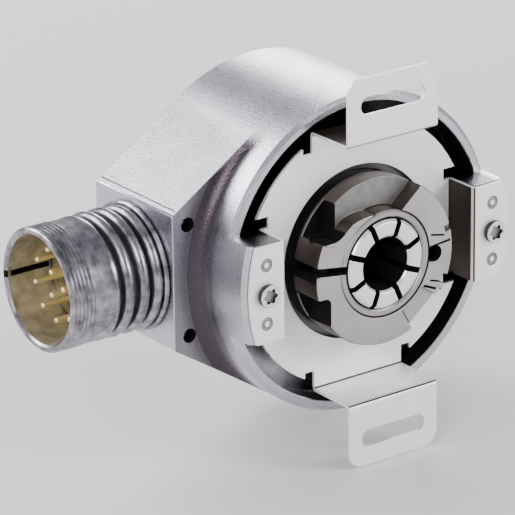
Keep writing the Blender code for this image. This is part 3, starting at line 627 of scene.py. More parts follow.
# Colour, metal, roughness; then grain size, bump depth, contrast and blotch size where not usual
LOOKS = {
    "cast_aluminium": ((0.58, 0.57, 0.62), 1.0, 0.32, 0.4, 0.06, 0.05),
    # Painted shade: a near-black finish for the recess, bores, slots and pockets.
    "deep_shade": ((0.006, 0.005, 0.005), 0.0, 0.8, 0.5, 0.02, 0.1),
    # Painted shade: aluminium darkened so the flange seen round the hub stays dark.
    "machined_aluminium": ((0.16, 0.15, 0.16), 1.0, 0.4, 0.3, 0.01),
    "spring_steel": ((0.96, 0.96, 0.95), 0.45, 0.45, 0.3, 0.006, 0.02),
    "sheet_shade": ((0.06, 0.045, 0.036), 0.8, 0.4, 0.3, 0.006, 0.06),
    "sintered_steel": ((0.44, 0.405, 0.415), 0.7, 0.42, 0.3, 0.02, 0.08),
    # Painted shade on the sides of the hub and of the shaft.
    "side_shade": ((0.085, 0.065, 0.058), 0.8, 0.42, 0.3, 0.015, 0.15),
    "turned_steel": ((0.4, 0.37, 0.38), 0.9, 0.36, 0.22, 0.006),
    "collet_steel": ((0.95, 0.94, 0.92), 0.8, 0.3, 0.25, 0.004, 0.03),
    # Dark steel for the cap screw; painted shade on the other screws' sides and drive walls.
    "dark_steel_and_shade": ((0.05, 0.045, 0.043), 0.8, 0.4, 0.25, 0.008, 0.1),
    "bearing_steel": ((0.7, 0.7, 0.71), 1.0, 0.16, 0.3, 0.002),
    "screw_steel": ((0.8, 0.8, 0.81), 0.9, 0.3, 0.2, 0.006),
    "nickel_plated_brass": ((0.29, 0.27, 0.3), 1.0, 0.28, 0.3, 0.014, 0.5, 1.9),
    "groove_shade": ((0.13, 0.12, 0.13), 0.9, 0.4, 0.3, 0.01, 0.2, 2.0),
    "crescent_floor": ((0.25, 0.245, 0.235), 0.7, 0.42, 0.3, 0.02, 0.15, 2.0),
    # Painted shade, mid grey, in the dimples' rings and on the screws' drive floors.
    "shallow_shade": ((0.3, 0.3, 0.31), 0.6, 0.4, 0.3, 0.006, 0.06),
    # Painted shade, tinted olive, on the connector's inner walls.
    "mouth_shade": ((0.45, 0.4, 0.3), 0.7, 0.42, 0.5, 0.03, 0.4, 3.0),
    "gold_contact": ((0.93, 0.78, 0.42), 0.85, 0.36, 0.2, 0.003, 0.08),
    "insert_plastic": ((0.62, 0.54, 0.26), 0.0, 0.42, 0.3, 0.01, 0.2, 1.5),
    "black_rubber": ((0.012, 0.012, 0.013), 0.0, 0.65, 0.25, 0.02, 0.1),
    "clear_glass": ((0.6, 0.65, 0.66), 0.0, 0.06, 0.5, 0.001, 0.04),
    "circuit_board": ((0.02, 0.16, 0.07), 0.0, 0.35, 0.6, 0.02, 0.25, 2.0),
    "dark_plastic": ((0.03, 0.03, 0.033), 0.0, 0.45, 0.3, 0.012, 0.12),
}
EXTRAS = {
    "machined_aluminium": {"lathe": SHAFT_LATHE},
    "turned_steel": {"lathe": SHAFT_LATHE},
    "collet_steel": {"lathe": SHAFT_LATHE},
    "bearing_steel": {"lathe": SHAFT_LATHE},
    "nickel_plated_brass": {"lathe": CONNECTOR_LATHE},
    "spring_steel": {"stretch": (12.0, 12.0, 1.0)},
    "deep_shade": {"gloss": 0.1},
}
FINISHES = {name: grained(name, *look, **EXTRAS.get(name, {})) for name, look in LOOKS.items()}
FINISHES["casting"] = casting_finish()


# -------- casing

def box_front():
    """A cutter for what lies outside the round body ahead of the box; its inner corner is round."""
    touch = flank_angle()
    front = LUG_FRONT_Y - 1.0
    corner = arc(BOX_FILLET, 180.0, 90.0, 10, (BODY_R + BOX_FILLET, BOX_Y - BOX_FILLET))
    profile = [(BODY_R, front)] + corner + [(BODY_R * 1.6, BOX_Y), (BODY_R * 1.6, front)]
    return swept(profile, touch, 360.0 - touch, 60)


def recess():
    """The front recess inside the rim, which stops short of the two lugs."""
    lug_angle = degrees(asin(LUG_HALF_Z / RIM_INNER_R))
    upper = [(LUG_INNER_X, LUG_HALF_Z)] + arc(RIM_INNER_R, lug_angle, 180.0 - lug_angle, 80)
    upper.append((-LUG_INNER_X, LUG_HALF_Z))
    return mirrored(upper)


def box_cavity():
    """Outline of the hollow behind the connector face, with solid corners for the screws."""
    step_x = CAVITY_END_X + 4.0
    inset = BODY_R - CAVITY_R + 0.4
    touch_x, touch_z = polar(BODY_R - inset, flank_angle())
    upper = [(CAVITY_END_X, BOX_CAVITY_HALF_Z), (step_x, BOX_CAVITY_HALF_Z),
             (step_x, flank_height(step_x, inset)), (touch_x, touch_z), (-8.0, 20.0)]
    return mirrored(upper)


def cover_screw_lines():
    return [place(*polar(REAR_BOSS_R, angle)) for angle in REAR_BOSS_ANGLES]


def rim_chamfer():
    """Cuts the rim's outer edge back, above and below the lugs."""
    drop = RIM_CHAMFER * 0.7
    profile = [(BODY_R - RIM_CHAMFER, RIM_Y - 1.0), (BODY_R - RIM_CHAMFER, RIM_Y),
               (BODY_R, RIM_Y + drop), (BODY_R + 1.0, RIM_Y + drop + 0.7), (BODY_R + 1.0, RIM_Y - 1.0)]
    ring_cutter = to_object("rim_cutter", turned(profile, WIDE))
    cut(ring_cutter, prism(rectangle(-FAR, FAR, -LUG_HALF_Z, LUG_HALF_Z), "Y", 0.0, 20.0))
    return taken(ring_cutter)


def lug_chamfer():
    """Cuts the outer edge of the lugs' front back, out to where the tabs end."""
    drop = BODY_R - TAB_END_R
    profile = [(TAB_END_R, LUG_FRONT_Y - 1.0), (TAB_END_R, LUG_FRONT_Y), (BODY_R, LUG_FRONT_Y + drop),
               (BODY_R + 1.0, LUG_FRONT_Y + drop + 1.0), (BODY_R + 1.0, LUG_FRONT_Y - 1.0)]
    return turned(profile, WIDE)


def flank_seams():
    """Fine grooves: where each flank leaves the round body, and beside the connector face."""
    touch = flank_angle()
    front = BOX_Y + SEAM_MARGIN
    back = BACK_Y - SEAM_MARGIN
    band_x = BOX_END_X + END_BAND
    seams = []
    for side in (1.0, -1.0):
        line = [polar(BODY_R - SEAM_DEPTH, touch), polar(BODY_R + 1.0, touch - 1.8),
                polar(BODY_R + 1.0, touch + 1.8)]
        seams.append(prism([(u, side * v) for u, v in line], "Y", front, back))
        lower = flank_height(band_x, SEAM_DEPTH)
        upper = flank_height(band_x, -1.0)
        outline = [(band_x, side * lower), (band_x + SEAM_WIDTH, side * lower),
                   (band_x + SEAM_WIDTH, side * upper), (band_x, side * upper)]
        seams.append(prism(outline, "Y", front, back))
    return seams


def make_housing():
    """The casting: a teardrop block, cut from the front, from behind and for every screw."""
    front = LUG_FRONT_Y - 1.0
    body = to_object("housing_casting", prism(teardrop(0.0), "Y", LUG_FRONT_Y, BACK_Y))
    bosses = cover_screw_lines()
    cavity = to_object("cavity", turned(rod(CAVITY_R, SHOULDER_BACK_Y, LEDGE_Y + 1.0), MEDIUM))
    cut(cavity, *[turned(rod(REAR_BOSS_OUTER_R, REAR_BOSS_Y, LEDGE_Y - 0.3), SMALL, line)
                  for line in bosses])
    cutters = [box_front(),
               prism(rectangle(-FAR, FAR, LUG_HALF_Z, FAR), "Y", front, RIM_Y),
               prism(rectangle(-FAR, FAR, -FAR, -LUG_HALF_Z), "Y", front, RIM_Y),
               prism(recess(), "Y", front, SHOULDER_Y),
               turned(rod(SHOULDER_R, SHOULDER_Y - 1.0, SHOULDER_BACK_Y + 1.0), MEDIUM),
               taken(cavity),
               prism(box_cavity(), "Y", BOX_CAVITY_Y, LEDGE_Y + 1.0),
               prism(teardrop(LEDGE_INSET), "Y", LEDGE_Y, BACK_Y + 1.0),
               turned(rod(CONNECTOR_HOLE_R, -4.0, 1.0), MEDIUM, ALONG_CONNECTOR),
               rim_chamfer(), lug_chamfer()]
    cutters += flank_seams()
    for side in (-1.0, 1.0):
        cutters.append(turned(rod(LUG_HOLE_R, front, LUG_FRONT_Y + 8.0), SMALL,
                              place(side * LUG_SCREW_X, 0.0)))
        cutters.append(turned(rod(BOX_HOLE_R, front, LEDGE_Y + 1.0), SMALL,
                              place(BOX_HOLE_X, side * BOX_HOLE_Z)))
    cutters += [turned(rod(REAR_BOSS_HOLE_R, REAR_BOSS_Y + 0.8, LEDGE_Y + 1.0), SMALL, line)
                for line in bosses]
    cut(body, *cutters)
    round_edges(body, 0.28, 3, outside_edge)
    finish_piece(body, "stator", "cast_aluminium", "housing", finish="casting")
    # Painted shade on the recess's floor and walls, the hollow behind it and the box's holes.
    paint(body, "deep_shade", inside_casting)


def outside_edge(a, b):
    """True for the casting's long outside edges, whose rounding shows."""
    if min(a.y, b.y) > BACK_Y - 0.05:
        return hypot(a.x, a.z) > CAVITY_R + 1.5
    if max(a.x, b.x) < BOX_END_X + 0.05:
        return hypot(a.y - CONNECTOR_Y, a.z) > CONNECTOR_HOLE_R + 1.0
    both_on_box_front = abs(a.y - BOX_Y) < 0.02 and abs(b.y - BOX_Y) < 0.02
    if both_on_box_front and (a - b).length > 3.0:
        return True
    both_on_rim = abs(a.y - RIM_Y) < 0.02 and abs(b.y - RIM_Y) < 0.02
    return both_on_rim and max(abs(hypot(p.x, p.z) - RIM_INNER_R) for p in (a, b)) < 0.1


def inside_casting(centre, normal):
    """True for the floor and the walls that the coupling and the lid hide, which get painted shade; the
    wall low on the left, where light falls, is left out.
    """
    radius = hypot(centre.x, centre.z)
    recess_shade = RIM_Y + 0.6 < centre.y < SHOULDER_BACK_Y and radius < RIM_INNER_R + 0.1
    hollow = SHOULDER_BACK_Y <= centre.y < LEDGE_Y and radius < CAVITY_R + 0.2
    off_axis = hypot(centre.x - BOX_HOLE_X, abs(centre.z) - BOX_HOLE_Z)
    holes = off_axis < BOX_HOLE_R + 0.05 and abs(normal.y) < 0.5
    lit_wall = centre.x < 0.0 and centre.z < -LUG_HALF_Z
    recess_shade = recess_shade and abs(centre.z) > LUG_HALF_Z + 0.1 and normal.y > -0.5 and not lit_wall
    return recess_shade or hollow or holes


def make_rear_cover():
    outline = teardrop(LEDGE_INSET + COVER_GAP)
    cover = to_object("rear_lid", prism(outline, "Y", COVER_Y, COVER_BACK_Y))
    sink = [(0.0, COVER_Y - 1.0), (COVER_HOLE_R, COVER_Y - 1.0), (COVER_HOLE_R, COVER_Y + 0.3),
            (COVER_SINK_R, COVER_BACK_Y), (COVER_SINK_R, COVER_BACK_Y + 1.0),
            (0.0, COVER_BACK_Y + 1.0)]
    cut(cover, *[turned(sink, SMALL, line) for line in cover_screw_lines()])
    round_edges(cover, 0.25, 3)
    finish_piece(cover, "stator", "cast_aluminium", "rear_cover")


def star(radius, depth_ratio=0.72, lobes=6):
    """A six-lobed drive recess."""
    points = []
    steps = 8
    for i in range(lobes * steps):
        angle = 360.0 * i / (lobes * steps)
        wave = (1.0 + cos(radians(angle * lobes))) / 2.0
        points.append(polar(radius * (depth_ratio + (1.0 - depth_ratio) * wave), angle))
    return points


def hexagon(radius):
    return [polar(radius, 60.0 * i + 12.0) for i in range(6)]


def make_casing_screws():
    """The lid's four countersunk screws and the two set screws sunk in the box's front."""
    top = high("cover_screw_1", Y)
    tip = low("cover_screw_1", Y)
    profile = softened([(0.0, top), (COVER_SCREW_R, top), (COVER_SCREW_R, top - 0.2),
                        (COVER_SHANK_R, COVER_Y + 0.25), (COVER_SHANK_R, tip), (0.0, tip)], 0.12)
    for number, angle in enumerate(REAR_BOSS_ANGLES, start=1):
        x, z = polar(REAR_BOSS_R, angle)
        screw = to_object("countersunk_screw_%d" % number, turned(profile, SMALL, place(x, z)))
        drive = prism([(x + u, z + v) for u, v in star(COVER_DRIVE_R)], "Y", top - 0.9, top + 1.0)
        cut(screw, drive)
        round_edges(screw, 0.05, 2)
        finish_piece(screw, "stator", "screw_steel", "cover_screw_%d" % number)
        # Painted shade on all but the head's top and the drive's floor.
        paint(screw, "dark_steel_and_shade", lambda centre, normal: normal.y < 0.6)
    for name in ("lock_screw_upper", "lock_screw_lower"):
        x = centre_of(name, X)
        z = centre_of(name, Z)
        front = low(name, Y)
        plug = softened(rod(SET_SCREW_R, front, high(name, Y)), 0.15)
        screw = to_object(name.replace("lock", "set"), turned(plug, SMALL, place(x, z)))
        cut(screw, prism([(x + u, z + v) for u, v in hexagon(0.65)], "Y", front - 1.0, front + 1.0))
        smooth(screw)
        finish_piece(screw, "stator", "screw_steel", name)


# -------- stator coupling

PLATE_MID_Y = PLATE_BACK_Y - SHEET / 2.0


class Fold:
    """A strip that leaves the plate, bends forward and bends outward again, and its flat length."""

    def __init__(self, leg, front):
        self.start = leg + SHEET / 2.0 - BEND_R
        self.front = front + SHEET / 2.0
        self.bend = BEND_R * QUARTER_TURN
        self.rise = PLATE_MID_Y - self.front - 2.0 * BEND_R
        self.extra = 2.0 * self.bend - 2.0 * BEND_R + self.rise

    def flat(self, outward):
        """Where a place on the folded end lies before folding."""
        return outward + self.extra

    def cuts(self):
        """Places across both bends where the flat sheet is divided."""
        steps = 8
        first = [self.start + self.bend * i / steps for i in range(steps + 1)]
        second = [value + self.bend + self.rise for value in first]
        return first + second

    def place(self, along, offset):
        """(outward, y) of a point of the flat sheet; offset is its distance behind the middle."""
        past = along - self.start
        if past <= 0.0:
            return along, PLATE_MID_Y + offset
        if past <= self.bend:
            turn = past / BEND_R
            reach = BEND_R + offset
            return self.start + reach * sin(turn), PLATE_MID_Y - BEND_R + reach * cos(turn)
        past -= self.bend
        if past <= self.rise:
            return self.start + BEND_R + offset, PLATE_MID_Y - BEND_R - past
        past -= self.rise
        far = self.start + 2.0 * BEND_R
        if past <= self.bend:
            turn = past / BEND_R
            reach = BEND_R - offset
            return far - reach * cos(turn), self.front + BEND_R - reach * sin(turn)
        return far + past - self.bend, self.front + offset


def flat_outline(wing, side):
    """The coupling's blank before it is folded."""
    side_top = SIDE_HALF_Z + RELIEF_WIDTH
    strap_side = LEG_HALF_X + RELIEF_WIDTH
    side_angle = degrees(asin(side_top / PLATE_R))
    strap_angle = degrees(acos(strap_side / PLATE_R))
    corner = (LEG_HALF_X - WING_CORNER_R, wing.flat(WING_TIP_Z) - WING_CORNER_R)
    tab_angle = degrees(asin(SIDE_HALF_Z / TAB_END_R))
    quarter = [(side.flat(x), z) for x, z in arc(TAB_END_R, 1.0, tab_angle, 10)]
    quarter += [(SIDE_RELIEF_X, SIDE_HALF_Z), (SIDE_RELIEF_X, side_top)]
    quarter += arc(PLATE_R, side_angle, strap_angle, 24)
    quarter += [(strap_side, WING_RELIEF_Z), (LEG_HALF_X, WING_RELIEF_Z)]
    quarter += arc(WING_CORNER_R, 0.0, 90.0, 10, corner)
    upper = quarter + [(-x, z) for x, z in reversed(quarter)]
    return mirrored(upper)


def slot_outline(centre_z):
    reach = (SLOT_LENGTH - SLOT_WIDTH) / 2.0
    outline = arc(SLOT_WIDTH / 2.0, -90.0, 90.0, 16, (reach, centre_z))
    return outline + arc(SLOT_WIDTH / 2.0, 90.0, 270.0, 16, (-reach, centre_z))


def crease(bm, fold, axis):
    """Divides the flat sheet across the two bends at each end of one axis."""
    direction = Vector([1.0 if i == axis else 0.0 for i in range(3)])
    for way in (-1.0, 1.0):
        for distance in fold.cuts():
            bmesh.ops.bisect_plane(bm, geom=bm.verts[:] + bm.edges[:] + bm.faces[:], dist=1e-6,
                                   plane_co=direction * way * distance, plane_no=direction)


def folded(vert, wing, side):
    """Where a point of the flat sheet lies after folding."""
    x, y, z = vert
    offset = y - PLATE_MID_Y
    if abs(x) <= LEG_HALF_X + 0.01 and abs(z) > wing.start:
        out, forward = wing.place(abs(z), offset)
        return Vector((x, forward, out if z > 0.0 else -out))
    if abs(z) <= SIDE_HALF_Z + 0.01 and abs(x) > side.start:
        out, forward = side.place(abs(x), offset)
        return Vector((out if x > 0.0 else -out, forward, z))
    return Vector(vert)


def leg_side(centre, normal):
    """True for the shaded sides of the legs and the creases of the bends."""
    at_plate = centre.y > (TAB_Y + PLATE_BACK_Y) / 2.0
    slanted = 0.25 < abs(normal.y) < 0.97 if at_plate else 0.5 < abs(normal.y) < 0.85
    bend = slanted and max(abs(centre.x) / SIDE_RELIEF_X, abs(centre.z) / (LEG_Z - 0.6)) > 1.0
    if bend:
        return True
    on_leg = TAB_Y + SHEET + 0.4 < centre.y < PLATE_MID_Y - BEND_R * 0.5
    wing_leg = abs(normal.z) > 0.7 and normal.z * centre.z > 0.0 and abs(centre.z) > LEG_Z + 0.3
    tab_leg = abs(normal.x) > 0.7 and normal.x * centre.x < 0.0 and abs(centre.x) < SIDE_LEG_X
    return (wing_leg and centre.y > SHEET + 0.5 and centre.y < PLATE_MID_Y) or (tab_leg and on_leg)


def in_dimple(centre, _):
    """True for the sloping ring of the four dimples pressed in the tabs."""
    off_axis = hypot(abs(centre.x) - LUG_SCREW_X, abs(centre.z) - DIMPLE_Z)
    return TAB_Y + 0.03 < centre.y < TAB_Y + SHEET - 0.05 and 0.6 < off_axis < 1.45


def make_stator_coupling():
    """The spring sheet: cut flat, folded, then dimpled at its two tabs."""
    wing = Fold(LEG_Z, WING_Y)
    side = Fold(SIDE_LEG_X - SHEET, TAB_Y)
    front = PLATE_MID_Y - SHEET / 2.0
    holes = [arc(PLATE_HOLE_R, 0.0, 357.5, 143)]
    for way in (-1.0, 1.0):
        holes.append(slot_outline(way * wing.flat(SLOT_PITCH_Z)))
        holes.append(arc(TAB_HOLE_R, 0.0, 350.0, 35, (way * side.flat(LUG_SCREW_X), 0.0)))
    sheet = to_object("coupling_sheet", prism(flat_outline(wing, side), "Y", front, PLATE_BACK_Y))
    cut(sheet, *[prism(hole, "Y", front - 1.0, PLATE_BACK_Y + 1.0) for hole in holes])
    flat = taken(sheet)
    crease(flat, wing, Z)
    crease(flat, side, X)
    for vert in flat.verts:
        vert.co = folded(vert.co, wing, side)
    sheet = to_object("coupling_sheet", flat)
    dimple = softened([(0.7, TAB_Y + 0.28), (1.1, TAB_Y + 0.32), (1.5, TAB_Y - 0.5),
                       (0.25, TAB_Y - 0.5)], 0.08)
    cut(sheet, *[turned(dimple, SMALL, place(way * LUG_SCREW_X, z))
                 for way in (-1.0, 1.0) for z in (-DIMPLE_Z, DIMPLE_Z)])
    round_edges(sheet, 0.09, 2)
    finish_piece(sheet, "stator", "spring_steel", "stator_coupling")
    paint(sheet, "sheet_shade", leg_side)
    # Painted shade in the dimples' sloping rings.
    paint(sheet, "shallow_shade", in_dimple)


def make_coupling_screws():
    """Low round heads with a flat rim and a six-lobed recess."""
    for name in ("coupling_screw_left", "coupling_screw_right"):
        x = centre_of(name, X)
        head_r = (high(name, X) - low(name, X)) / 2.0
        front = low(name, Y)
        seat = TAB_Y - 0.06
        profile = [(0.0, front), (head_r, front), (head_r, seat), (TAB_SCREW_SHANK_R, seat),
                   (TAB_SCREW_SHANK_R, high(name, Y)), (0.0, high(name, Y))]
        screw = to_object(name.replace("coupling", "flange"),
                          turned(softened(profile, 0.25), SMALL, place(x, 0.0)))
        cut(screw, prism([(x + u, v) for u, v in star(TAB_SCREW_DRIVE_R)], "Y",
                         front - 1.0, front + TAB_SCREW_DRIVE_DEPTH))
        round_edges(screw, 0.05, 2)
        finish_piece(screw, "stator", "screw_steel", name)
        # Painted shade on the head's side and the drive's walls, lighter on the drive's floor.
        paint(screw, "dark_steel_and_shade", lambda centre, normal: normal.y > -0.6)
        paint(screw, "shallow_shade",
              lambda centre, normal: normal.y < -0.9 and centre.y > front + 0.5)


# -------- rotor

def radial_slot(angle, width, inner, outer, start, end, offset=0.0):
    """A cutter that points outwards from the shaft axis, or passes it at a small offset."""
    bm = prism(rectangle(inner, outer, offset - width / 2.0, offset + width / 2.0), "Y", start, end)
    turn = Matrix.Rotation(-radians(angle), 4, "Y")
    bmesh.ops.transform(bm, matrix=turn, verts=bm.verts)
    return bm


def sector(inner, outer, start, end):
    """Outline between two radii and two angles."""
    steps = max(4, int(abs(end - start) / 2.5))
    return arc(outer, start, end, steps) + arc(inner, end, start, steps)


def split(start):
    """The clamp's split, from a radius outwards through the ring."""
    return radial_slot(SPLIT_ANGLE, SPLIT_WIDTH, start, 18.0, RING_Y - 1.0, RING_BACK_Y + 1.0,
                       SPLIT_OFFSET)


def make_hollow_shaft():
    """The shaft's tube, closed behind, with the clamp's split carried through its front end."""
    profile = [(0.0, SHAFT_FLOOR_Y), (SHAFT_BORE_R, SHAFT_FLOOR_Y), (SHAFT_BORE_R, SHAFT_Y + 0.3),
               (SHAFT_BORE_R + 0.3, SHAFT_Y), (SHAFT_R - 0.3, SHAFT_Y), (SHAFT_R, SHAFT_Y + 0.3),
               (SHAFT_R, SHAFT_END_Y), (7.0, SHAFT_END_Y), (7.0, SHAFT_FLOOR_Y + 2.5),
               (0.0, SHAFT_FLOOR_Y + 2.5)]
    shaft = to_object("shaft_tube", turned(profile, MEDIUM))
    cut(shaft, split(7.5))
    smooth(shaft)
    finish_piece(shaft, "rotor", "turned_steel", "hollow_shaft")
    # Painted shade on the shaft's sides, near black in its bore.
    paint(shaft, "side_shade", lambda centre, normal: abs(normal.y) < 0.6)
    paint(shaft, "deep_shade",
          lambda centre, normal: hypot(centre.x, centre.z) < SHAFT_BORE_R + 0.05)


def make_collet():
    """The slotted sleeve that grips the driven shaft."""
    profile = [(BORE_R + 0.45, COLLET_Y), (COLLET_R - 0.5, COLLET_Y), (COLLET_R, COLLET_Y + 0.5),
               (COLLET_R, COLLET_END_Y), (BORE_R, COLLET_END_Y), (BORE_R, COLLET_Y + 0.45)]
    sleeve = to_object("collet_sleeve", turned(softened(profile, 0.1), MEDIUM))
    slot_angles = [COLLET_SLOT_ANGLE + 360.0 * i / COLLET_SLOTS for i in range(COLLET_SLOTS)]
    cut(sleeve, *[radial_slot(angle, COLLET_SLOT_WIDTH, BORE_R - 1.0, COLLET_R + 1.0,
                              COLLET_Y - 1.0, COLLET_SLOT_END_Y) for angle in slot_angles])
    round_edges(sleeve, 0.06, 2)
    finish_piece(sleeve, "rotor", "collet_steel", "collet")
    # Painted shade, near black, in the bore and the slots.
    paint(sleeve, "deep_shade",
          lambda centre, normal: centre.y > COLLET_Y + 0.6 or abs(normal.y) < 0.2)


def jaw_top():
    """The upper jaw's top edge, from outside the ring inwards, which sweeps up round the shaft."""
    fillet_r = 4.0
    collar_r = 11.9
    centre_z = JAW_TOP_Z + fillet_r
    centre_x = -((collar_r + fillet_r) ** 2 - centre_z ** 2) ** 0.5
    turn = degrees(atan2(-centre_z, -centre_x))
    sweep = arc(fillet_r, -90.0, turn, 16, (centre_x, centre_z))
    collar = [polar(11.75, 129.0), polar(11.4, 124.0), polar(10.95, 117.0), polar(10.5, 110.0),
              polar(10.1, 103.0), polar(9.5, 103.0)]
    return [(-17.0, JAW_TOP_Z)] + sweep + collar


def crescent():
    """Outline of the shallow front recess, from its end wall round to the key pocket."""
    end_wall = [(3.1, 8.9), (11.6, 16.1)]
    outer = arc(18.0, 60.0, 115.0, 12) + [(POCKET_SIDE_X - 1.0, 16.0)]
    inner = [point for point in jaw_top() if point[0] > POCKET_SIDE_X - 1.0]
    return end_wall + outer + [(POCKET_SIDE_X - 1.0, inner[0][1])] + inner + arc(9.5, 100.0, 72.0, 8)


def side_shade(_, normal):
    """True for the hub's faces that get painted shade: all but its front and the floors cut from the
    front.
    """
    return normal.y > -0.55


def hub_pocket(centre, normal):
    """True for the walls and floors of the deep pockets, the split and the hinge hole."""
    key_side = centre.x < POCKET_SIDE_X + 0.1 and centre.z > JAW_TOP_Z - 2.5 and centre.y > RING_Y + 0.6
    tip_side = centre.x < TIP_POCKET_X + 0.1 and centre.z < TIP_POCKET_Z + 0.1
    hinge = hypot(centre.x - HINGE_X, centre.z - HINGE_Z) < HINGE_R + 0.05
    in_hub = hypot(centre.x, centre.z) < RING_R - 0.7
    split_gap = centre.x < -10.0 and abs(centre.z - 1.0) < 1.4 and abs(normal.y) < 0.5
    lines = centre.x > 3.0 and centre.z < 4.0 and in_hub and RING_Y + 0.1 < centre.y < RING_Y + 0.9
    step_floor = abs(centre.y - RING_Y - STEP_DEPTH) < 0.05 and normal.y < -0.9
    pockets = (key_side or tip_side) and in_hub and centre.y > RING_Y + 0.6
    return pockets or hinge or split_gap or (lines and not step_floor)


def hub_edge(a, b):
    """True where the hub's edges are rounded: not among the fine lines on its right side."""
    return not all(end.x > 3.0 and end.z < 4.5 for end in (a, b))


def line_groove(start, end, width, depth):
    """A shallow straight groove across the hub's front face."""
    here = Vector(start)
    way = Vector(end) - here
    across = Vector((-way.y, way.x)).normalized() * width / 2.0
    corners = [here - across, here + way - across, here + way + across, here + across]
    return prism([tuple(corner) for corner in corners], "Y", RING_Y - 1.0, RING_Y + depth)


def hub_notches():
    """What gives the hub its uneven right side: two dents beside the hinge boss, and a flat below."""
    front = RING_Y - 1.0
    flat = [(12.3, -7.8), (5.8, -13.1), (9.0, -20.0), (20.0, -12.0)]
    return [prism(flat, "Y", front, POCKET_FLOOR_Y),
            radial_slot(14.5, 1.3, 13.9, 18.0, front, POCKET_FLOOR_Y),
            radial_slot(-24.0, 1.7, 14.0, 18.0, front, POCKET_FLOOR_Y),
            line_groove((10.25, 3.1), (13.4, 2.4), 0.35, 0.5),
            line_groove((10.1, -5.6), (13.4, -6.6), 0.35, 0.5),
            line_groove((8.7, -6.3), (12.6, -8.0), 0.45, 0.8),
            line_groove((3.9, -9.9), (6.0, -13.6), 0.45, 0.8)]


def make_clamp_ring():
    """The hub: a split ring with a crescent cut, two pockets and the screw's bore."""
    soft = 0.5
    profile = [(RING_BORE_R, RING_Y), (RING_R - soft, RING_Y),
               (RING_R - soft * 0.3, RING_Y + soft * 0.3), (RING_R, RING_Y + soft),
               (RING_R, RING_BACK_Y), (RING_BORE_R, RING_BACK_Y)]
    hub = to_object("clamp_collar", turned(profile, WIDE))
    front = RING_Y - 1.0
    key_pocket = [point for point in jaw_top() if point[0] < POCKET_SIDE_X]
    key_pocket += [(POCKET_SIDE_X, key_pocket[-1][1] + 0.3), (POCKET_SIDE_X, 18.0), (-17.0, 18.0)]
    tip_pocket = [(TIP_POCKET_X, -11.5), (-17.0, -11.5), (-17.0, TIP_POCKET_Z)]
    tip_pocket += arc(1.2, 90.0, 0.0, 6, (TIP_POCKET_X - 1.2, TIP_POCKET_Z - 1.2))
    screw_path = Matrix.Translation((CLAMP_SCREW_X, CLAMP_SCREW_Y, 0.0))
    head_r = (high("clamp_screw", X) - low("clamp_screw", X)) / 2.0
    cut(hub,
        prism(crescent(), "Y", front, RING_FLOOR_Y),
        prism(key_pocket, "Y", front, POCKET_FLOOR_Y),
        prism(tip_pocket, "Y", front, POCKET_FLOOR_Y),
        prism(sector(10.35, 17.0, -67.0, -37.0), "Y", front, RING_Y + STEP_DEPTH),
        split(9.0),
        turned(rod(HINGE_R, front, RING_BACK_Y + 1.0), SMALL, place(HINGE_X, HINGE_Z)),
        radial_slot(-5.5, 1.2, 9.0, HINGE_X - 0.6, front, RING_BACK_Y + 1.0),
        turned(rod(head_r + 0.15, CLAMP_HEAD_Z - 0.1, JAW_TOP_Z + 1.0), SMALL, screw_path),
        turned(rod(CLAMP_SHANK_R + 0.25, CLAMP_TIP_Z - 0.7, JAW_TOP_Z), SMALL, screw_path),
        *hub_notches())
    round_edges(hub, 0.12, 2, hub_edge)
    finish_piece(hub, "rotor", "sintered_steel", "clamp_ring")
    paint(hub, "crescent_floor",
          lambda centre, normal: abs(centre.y - RING_FLOOR_Y) < 0.1 and normal.y < -0.9)
    # Painted shade on the hub's sides, near black in its pockets, split, hinge hole and fine lines.
    paint(hub, "side_shade", side_shade)
    paint(hub, "deep_shade", hub_pocket)


def make_clamp_screw():
    """A socket cap screw across the split."""
    head_r = (high("clamp_screw", X) - low("clamp_screw", X)) / 2.0
    profile = [(0.0, CLAMP_TOP_Z), (head_r, CLAMP_TOP_Z), (head_r, CLAMP_HEAD_Z),
               (CLAMP_SHANK_R, CLAMP_HEAD_Z), (CLAMP_SHANK_R, CLAMP_TIP_Z), (0.0, CLAMP_TIP_Z)]
    line = Matrix.Translation((CLAMP_SCREW_X, CLAMP_SCREW_Y, 0.0))
    screw = to_object("cap_screw", turned(softened(profile, 0.2), SMALL, line))
    drive = prism([(CLAMP_SCREW_X + u, CLAMP_SCREW_Y + v) for u, v in hexagon(1.0)], "Z",
                  CLAMP_TOP_Z - 1.0, CLAMP_TOP_Z + 1.0)
    cut(screw, drive)
    smooth(screw)
    finish_piece(screw, "rotor", "screw_steel", "clamp_screw", finish="dark_steel_and_shade")


# -------- connector

